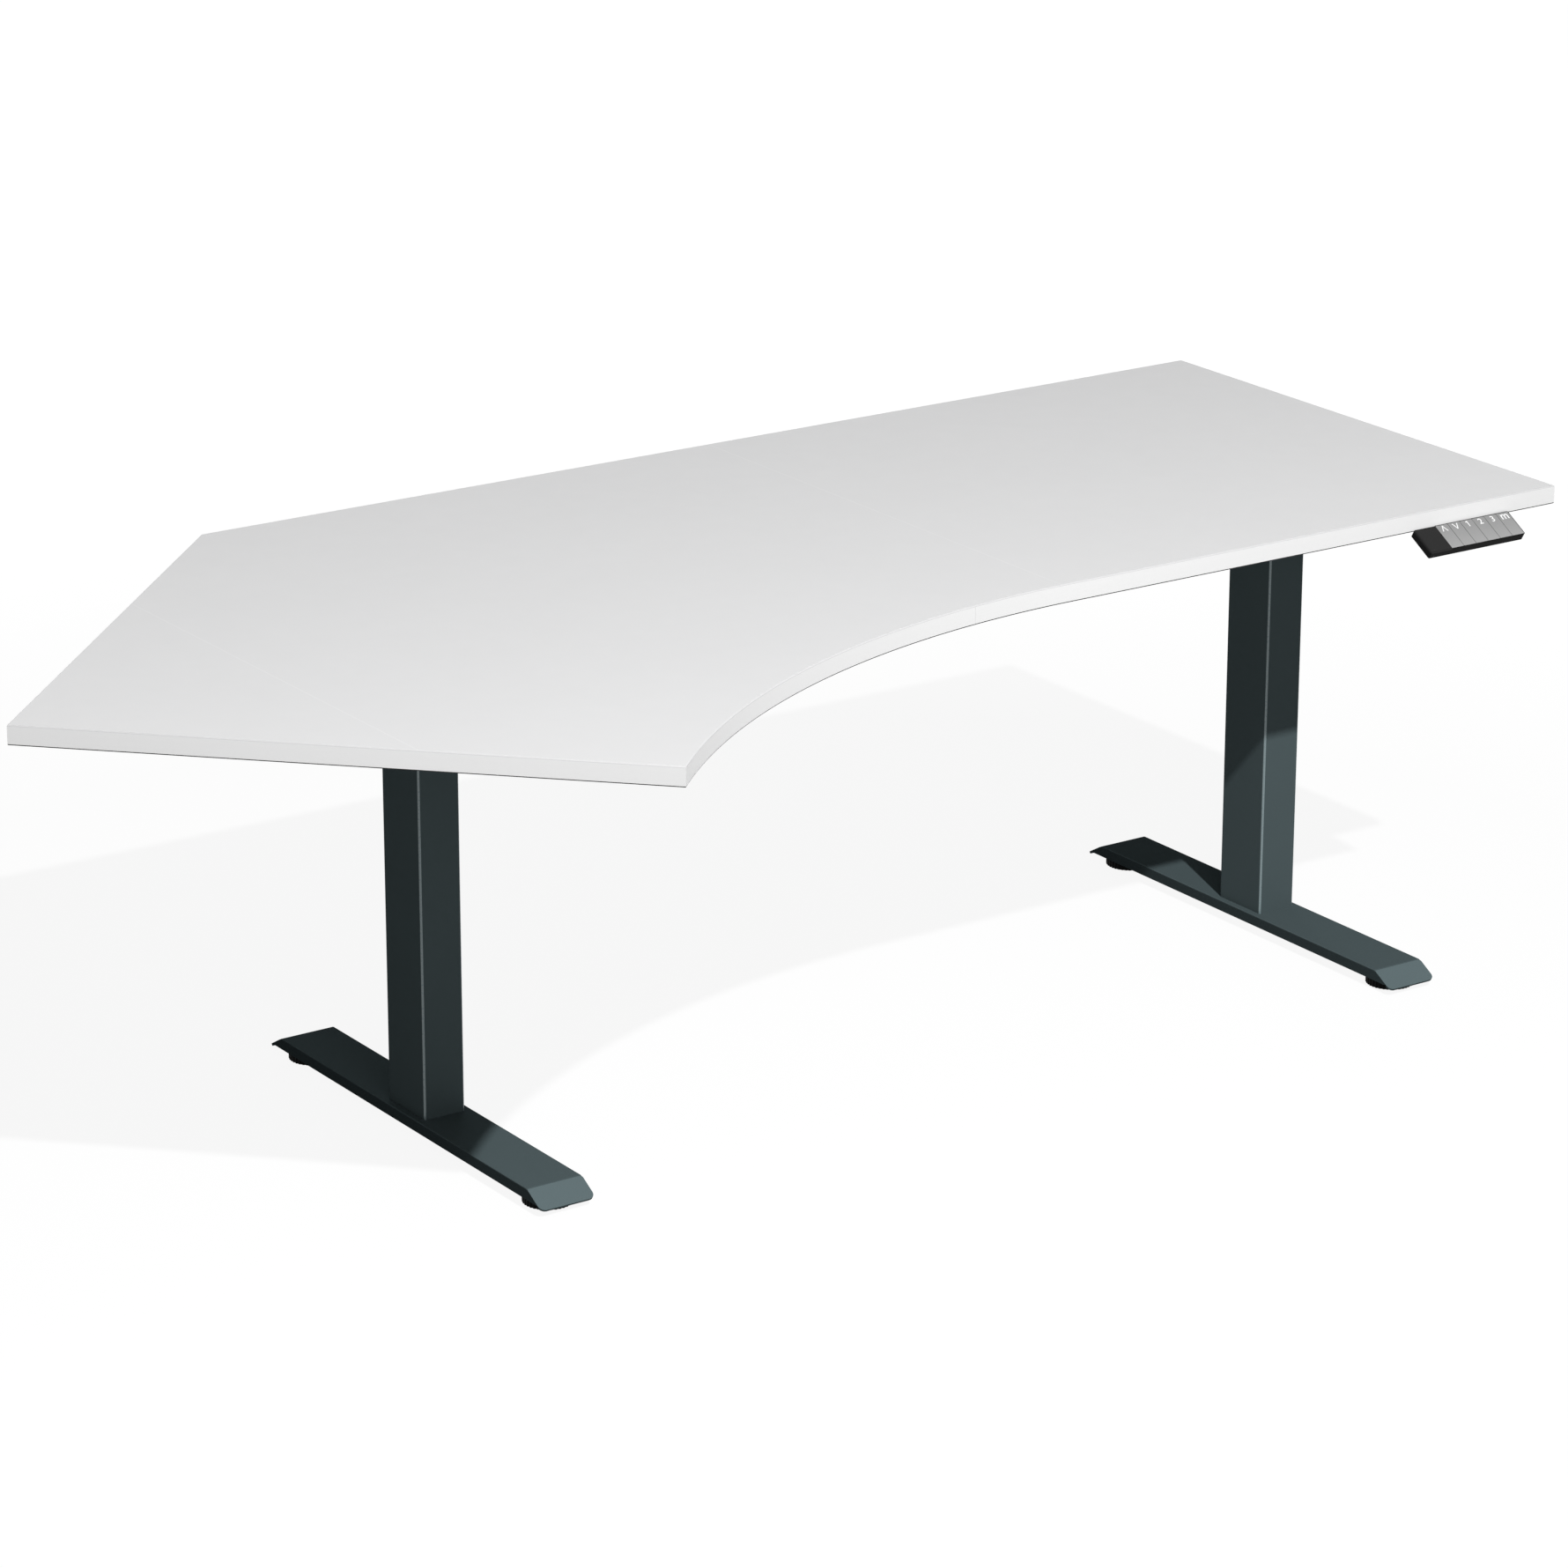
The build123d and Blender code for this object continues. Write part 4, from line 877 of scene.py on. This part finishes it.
class DESK_OT_handset(bpy.types.Operator):
    """Make the handset's case and display window"""

    bl_idname = "desk.handset"
    bl_label = "Handset case"

    def execute(self, context):
        _, deep, thick = slope_frame()
        low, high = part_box("handset_housing")
        wide = high.x - low.x
        window_low, window_high = local_box("display_window")
        step = window_high.x + 0.0001
        bed = window_low.z
        rim = -local_box("key_memory")[1].y - FINE_EDGE

        case = block("handset_case", (0, -deep, -thick), (wide, 0, bed))
        bevel(lambda e: along(e, 2), CASE_CORNER, 5)
        bpy.ops.mesh.select_all(action="SELECT")
        bpy.ops.mesh.bisect(plane_co=(step, 0, 0), plane_no=(1, 0, 0))

        def crown(face):
            return facing(face, 2, 1) and face.calc_center_median().x > step

        choose("FACE", crown)
        pull(z=-bed)
        bevel(lambda e: level(e, 0) and not all(near(v.co.x, step) for v in e.verts), FINE_EDGE, 2)
        choose("FACE", crown)
        bpy.ops.mesh.inset(thickness=rim, use_even_offset=True)
        choose("VERT", lambda v: near(v.co.x, step + rim) and near(v.co.z, 0))
        bpy.ops.transform.translate(value=(-0.75 * rim, 0, 0))
        choose("FACE", lambda f: crown(f) and f.calc_area() > 0.5 * wide * deep)
        pull(z=-KEY_WELL)
        leave(case)
        set_on_slope(case)
        stands_for(case, "top_frame", finishes["moulding"], "black_plastic", "handset_housing")

        glass = block("handset_window", window_low, window_high)
        bevel(lambda e: along(e, 2) and near(e.verts[0].co.x, window_low.x), CASE_CORNER, 5)
        bevel(
            lambda e: level(e, window_high.z)
            and not all(near(v.co.x, window_high.x) for v in e.verts),
            WINDOW_BEVEL, 3,
        )
        choose("FACE", lambda f: facing(f, 2, 1) and f.calc_area() > 0.0005)
        bpy.ops.mesh.inset(thickness=WINDOW_FRAME, depth=0, use_even_offset=True)
        line, groove = WINDOW_LINE
        bpy.ops.mesh.inset(thickness=line, depth=groove, use_even_offset=True)
        leave(glass, 25)
        set_on_slope(glass)
        stands_for(glass, "top_frame", finishes["window"], "display_black", "display_window")
        return {"FINISHED"}


def upright_stroke(name, tall):
    """Start a sign as one flat upright stroke, and go to edit mode."""
    start()
    bpy.ops.mesh.primitive_plane_add(size=1)
    bpy.context.object.scale = (STROKE * tall, tall, 1)
    sign = settle(name)
    bpy.ops.object.mode_set(mode="EDIT")
    return sign


def chevron(name, tall, point):
    """A two-stroke sign that points up the slope (1) or down it (-1)."""
    sign = upright_stroke(name, tall)
    choose("VERT", lambda v: v.co.y * point < 0)
    bpy.ops.transform.translate(value=((STROKE - CHEVRON_W) / 2 * tall, 0, 0))
    bpy.ops.mesh.select_all(action="SELECT")
    bpy.ops.mesh.bisect(plane_co=(0, 0, 0), plane_no=(1, 0, 0), clear_outer=True)
    start()
    apply(sign, "MIRROR", merge_threshold=0.00001)
    return raised(sign)


def figure_one(name, tall):
    """A figure 1: an upright stroke with its flag."""
    sign = upright_stroke(name, tall)
    bpy.ops.mesh.select_all(action="SELECT")
    bpy.ops.mesh.bisect(plane_co=(0, 0.33 * tall, 0), plane_no=(0, 1, 0))
    choose("EDGE", lambda e: all(v.co.x < 0 and v.co.y > 0.3 * tall for v in e.verts))
    pull(x=-0.20 * tall, y=-0.14 * tall)
    return raised(sign)


def raised(sign):
    """Give a flat sign the thickness of its ink."""
    pick(sign)
    bpy.ops.object.mode_set(mode="EDIT")
    choose("FACE", lambda f: True)
    pull(z=INK)
    return leave(sign)


def letter(name, text, tall, body=0.72):
    """A raised letter or digit, centred on the origin; body is its height in the font."""
    start()
    bpy.ops.object.text_add()
    sign = bpy.context.object
    sign.data.body = text
    sign.data.align_x = "CENTER"
    sign.data.extrude = INK / 2
    sign.data.offset = 0.012
    sign.data.resolution_u = 6
    bpy.ops.object.convert(target="MESH")
    sign = bpy.context.object
    sign.scale = (tall / body, tall / body, 1)
    sign.location = (0, -tall / 2, INK / 2)
    sign = settle(name)
    bpy.ops.object.mode_set(mode="EDIT")
    bpy.ops.mesh.select_all(action="SELECT")
    bpy.ops.mesh.remove_doubles(threshold=0.000001)
    return leave(sign)


class DESK_OT_keys(bpy.types.Operator):
    """Make one key cap, copy it to the six places and print each with its sign"""

    bl_idname = "desk.keys"
    bl_label = "Keys"

    def execute(self, context):
        sizes = context.scene.desk_sizes
        low, high = local_box("key_down")
        low.z = high.z - KEY_T
        first = block("key_cap", low, high)
        bevel(lambda e: along(e, 2), sizes.key_round * 1.5, 4)
        bevel(lambda e: level(e, high.z), sizes.key_round, 4)
        leave(first)
        first.data.materials.append(finishes["key"])
        tall = sizes.print_height
        signs = {
            "up": chevron("sign_up", tall, 1),
            "down": chevron("sign_down", tall, -1),
            "one": figure_one("sign_one", tall),
            "two": letter("sign_two", "2", tall),
            "three": letter("sign_three", "3", tall),
            "memory": letter("sign_memory", "m", tall, 0.54),
        }
        centre = (low + high) / 2
        for key in KEYS:
            key_low, key_high = local_box(f"key_{key}")
            pick(first)
            bpy.ops.object.duplicate(linked=False)
            shift = (key_low.x + key_high.x) / 2 - centre.x
            context.object.location = (shift, 0, 0)
            cap = settle(f"{key}_cap")
            sign = signs[key]
            sign.data.materials.clear()
            sign.data.materials.append(finishes["sign"])
            pick(sign)
            sign.location = (centre.x + shift, high.y - SIGN_AT * (high.y - low.y), high.z)
            bpy.ops.object.transform_apply(location=True, rotation=True, scale=True)
            cap = join([cap, sign])
            set_on_slope(cap)
            stands_for(cap, f"{key}_key", None, "key_grey", f"key_{key}")
        pick(first)
        bpy.ops.object.delete()
        return {"FINISHED"}


# --- Parts taken as the frame has them -----------------------------------------------


class DESK_OT_finishes(bpy.types.Operator):
    """Make the finishes and give the frame's own parts theirs"""

    bl_idname = "desk.finishes"
    bl_label = "Finishes"

    WORN = {
        "powder_coat": ("front_rail", "rear_rail", "wing_arm", "*_console", "*_inner_tube"),
        "moulding": ("control_box_shell", "handset_base", "*_slipper", "*_guide_collar"),
        "zinc": ("frame_screws", "top_screws", "*_foot_bolts", "*_head_bolts"),
        "steel": ("*_thrust_tube", "*_spindle", "*_spindle_bearing", "*_worm"),
        "alloy": ("*_gearbox",),
        "bronze": ("*_worm_wheel", "*_spindle_nut"),
        "lacquer": ("*_motor", "control_box_cover"),
        "rubber": ("*_pad",),
        "board": ("control_board", "handset_board"),
    }

    def execute(self, context):
        finishes.update(make_finishes())
        for finish, patterns in self.WORN.items():
            for pattern in patterns:
                found = [n for n in frame["nodes"] if n == pattern or self.fits(n, pattern)]
                if not found:
                    raise RuntimeError(f"no part of the frame fits {pattern}")
                for node in found:
                    dress(node, finishes[finish])
        return {"FINISHED"}

    def fits(self, node, pattern):
        return pattern[0] == "*" and node.endswith(pattern[1:])


# --- Stage ---------------------------------------------------------------------------


FLOOR_GLOW = (1.6, 4.0, 0.91, 1.0)  # distances from the middle, and the glow at each


class DESK_OT_stage(bpy.types.Operator):
    """Set up the floor, the light and the camera"""

    bl_idname = "desk.stage"
    bl_label = "Stage"

    def execute(self, context):
        stage = context.scene.desk_stage
        self.lay_floor()
        self.light_sky(context.scene, stage)
        self.hang_lamp("key_lamp", stage.lamp, stage.lamp_size, stage.lamp_power)
        for name in ("front", "back"):
            place, power = getattr(stage, name), getattr(stage, f"{name}_power")
            fill = self.hang_lamp(f"{name}_fill", place, stage.fill_size, power)
            fill.visible_glossy = False
        self.place_camera(context.scene, stage)
        context.scene.view_settings.view_transform = "Standard"
        return {"FINISHED"}

    def seen_ray(self, tree):
        """One for rays that show the background: camera, glossy and transmission."""
        path = tree.nodes.new("ShaderNodeLightPath")
        total = path.outputs["Is Camera Ray"]
        for kind in ("Is Glossy Ray", "Is Transmission Ray"):
            both = tree.nodes.new("ShaderNodeMath")
            both.operation = "MAXIMUM"
            tree.links.new(total, both.inputs[0])
            tree.links.new(path.outputs[kind], both.inputs[1])
            total = both.outputs[0]
        return total

    def lay_floor(self):
        """White floor that keeps a faint shadow, and is see-through from below."""
        start()
        bpy.ops.mesh.primitive_circle_add(vertices=96, radius=60, fill_type="NGON")
        floor = settle("floor")
        material = bpy.data.materials.new("white_floor")
        material.use_nodes = True
        tree = material.node_tree
        tree.nodes.clear()
        link = tree.links.new

        plain = tree.nodes.new("ShaderNodeBsdfDiffuse")
        plain.inputs["Color"].default_value = (0.20, 0.20, 0.20, 1)
        shown = tree.nodes.new("ShaderNodeBsdfDiffuse")
        shown.inputs["Color"].default_value = (0.10, 0.10, 0.10, 1)
        place = tree.nodes.new("ShaderNodeTexCoord")
        away = tree.nodes.new("ShaderNodeVectorMath")
        away.operation = "LENGTH"
        link(place.outputs["Object"], away.inputs[0])
        strength = tree.nodes.new("ShaderNodeMapRange")
        for socket, value in enumerate(FLOOR_GLOW, start=1):
            strength.inputs[socket].default_value = value
        link(away.outputs["Value"], strength.inputs[0])
        glow = tree.nodes.new("ShaderNodeEmission")
        link(strength.outputs[0], glow.inputs["Strength"])
        white = tree.nodes.new("ShaderNodeAddShader")
        link(shown.outputs[0], white.inputs[0])
        link(glow.outputs[0], white.inputs[1])
        by_ray = tree.nodes.new("ShaderNodeMixShader")
        link(self.seen_ray(tree), by_ray.inputs[0])
        link(plain.outputs[0], by_ray.inputs[1])
        link(white.outputs[0], by_ray.inputs[2])
        side = tree.nodes.new("ShaderNodeNewGeometry")
        clear = tree.nodes.new("ShaderNodeBsdfTransparent")
        one_sided = tree.nodes.new("ShaderNodeMixShader")
        link(side.outputs["Backfacing"], one_sided.inputs[0])
        link(by_ray.outputs[0], one_sided.inputs[1])
        link(clear.outputs[0], one_sided.inputs[2])
        end = tree.nodes.new("ShaderNodeOutputMaterial")
        link(one_sided.outputs[0], end.inputs["Surface"])
        floor.data.materials.append(material)

    def light_sky(self, scene, stage):
        """Even light all round, and a white background."""
        world = bpy.data.worlds.new("studio")
        world.use_nodes = True
        tree = world.node_tree
        ground = tree.nodes["Background"]
        ground.inputs["Color"].default_value = (1, 1, 1, 1)
        strength = tree.nodes.new("ShaderNodeMapRange")
        tree.links.new(self.seen_ray(tree), strength.inputs[0])
        strength.inputs[3].default_value = stage.sky
        strength.inputs[4].default_value = 1.0
        tree.links.new(strength.outputs[0], ground.inputs["Strength"])
        scene.world = world

    def hang_lamp(self, name, place, size, power):
        """Round area lamp that shines at the middle of the desk."""
        lamp = bpy.data.lights.new(name, "AREA")
        lamp.shape = "DISK"
        lamp.size = size
        lamp.energy = power
        holder = bpy.data.objects.new(name, lamp)
        bpy.context.scene.collection.objects.link(holder)
        holder.location = place
        aim = Vector((0, 0, BAND_LOW.z)) - Vector(place)
        holder.rotation_euler = aim.to_track_quat("-Z", "Y").to_euler()
        holder.visible_camera = False
        return holder

    def place_camera(self, scene, stage):
        camera = bpy.data.cameras.new("camera")
        camera.lens = stage.lens
        camera.sensor_width = 36
        camera.clip_end = 200
        holder = bpy.data.objects.new("camera", camera)
        scene.collection.objects.link(holder)
        look = Matrix.Rotation(radians(-stage.heading), 4, "Z")
        look @= Matrix.Rotation(radians(90 - stage.pitch), 4, "X")
        look @= Matrix.Rotation(radians(stage.roll), 4, "Z")
        holder.matrix_world = Matrix.Translation(stage.camera) @ look
        scene.camera = holder


# --- Panel and run -------------------------------------------------------------------

PIECES = (
    DESK_OT_finishes,
    DESK_OT_stage,
    DESK_OT_top,
    DESK_OT_columns,
    DESK_OT_feet,
    DESK_OT_glides,
    DESK_OT_handset,
    DESK_OT_keys,
)


class VIEW3D_PT_desk(bpy.types.Panel):
    """The desk's sizes, colours and pieces"""

    bl_label = "Standing desk"
    bl_idname = "VIEW3D_PT_desk"
    bl_space_type = "VIEW_3D"
    bl_region_type = "UI"
    bl_category = "Desk"

    def draw(self, context):
        layout = self.layout
        for group in ("desk_sizes", "desk_colours", "desk_stage"):
            settings = getattr(context.scene, group)
            box = layout.box()
            for name in settings.bl_rna.properties.keys():
                if name not in {"rna_type", "name"}:
                    box.prop(settings, name)
        column = layout.column(align=True)
        for piece in PIECES:
            column.operator(piece.bl_idname)


GROUPS = {"desk_sizes": DeskSizes, "desk_colours": DeskColours, "desk_stage": StageSettings}


def register():
    for kind in (*GROUPS.values(), *PIECES, VIEW3D_PT_desk):
        bpy.utils.register_class(kind)
    for name, group in GROUPS.items():
        setattr(bpy.types.Scene, name, PointerProperty(type=group))


def unregister():
    for name in GROUPS:
        delattr(bpy.types.Scene, name)
    for kind in (VIEW3D_PT_desk, *reversed(PIECES), *GROUPS.values()):
        bpy.utils.unregister_class(kind)


def main():
    register()
    for piece in PIECES:
        group, name = piece.bl_idname.split(".")
        getattr(getattr(bpy.ops, group), name)()


if __name__ == "__main__":
    main()
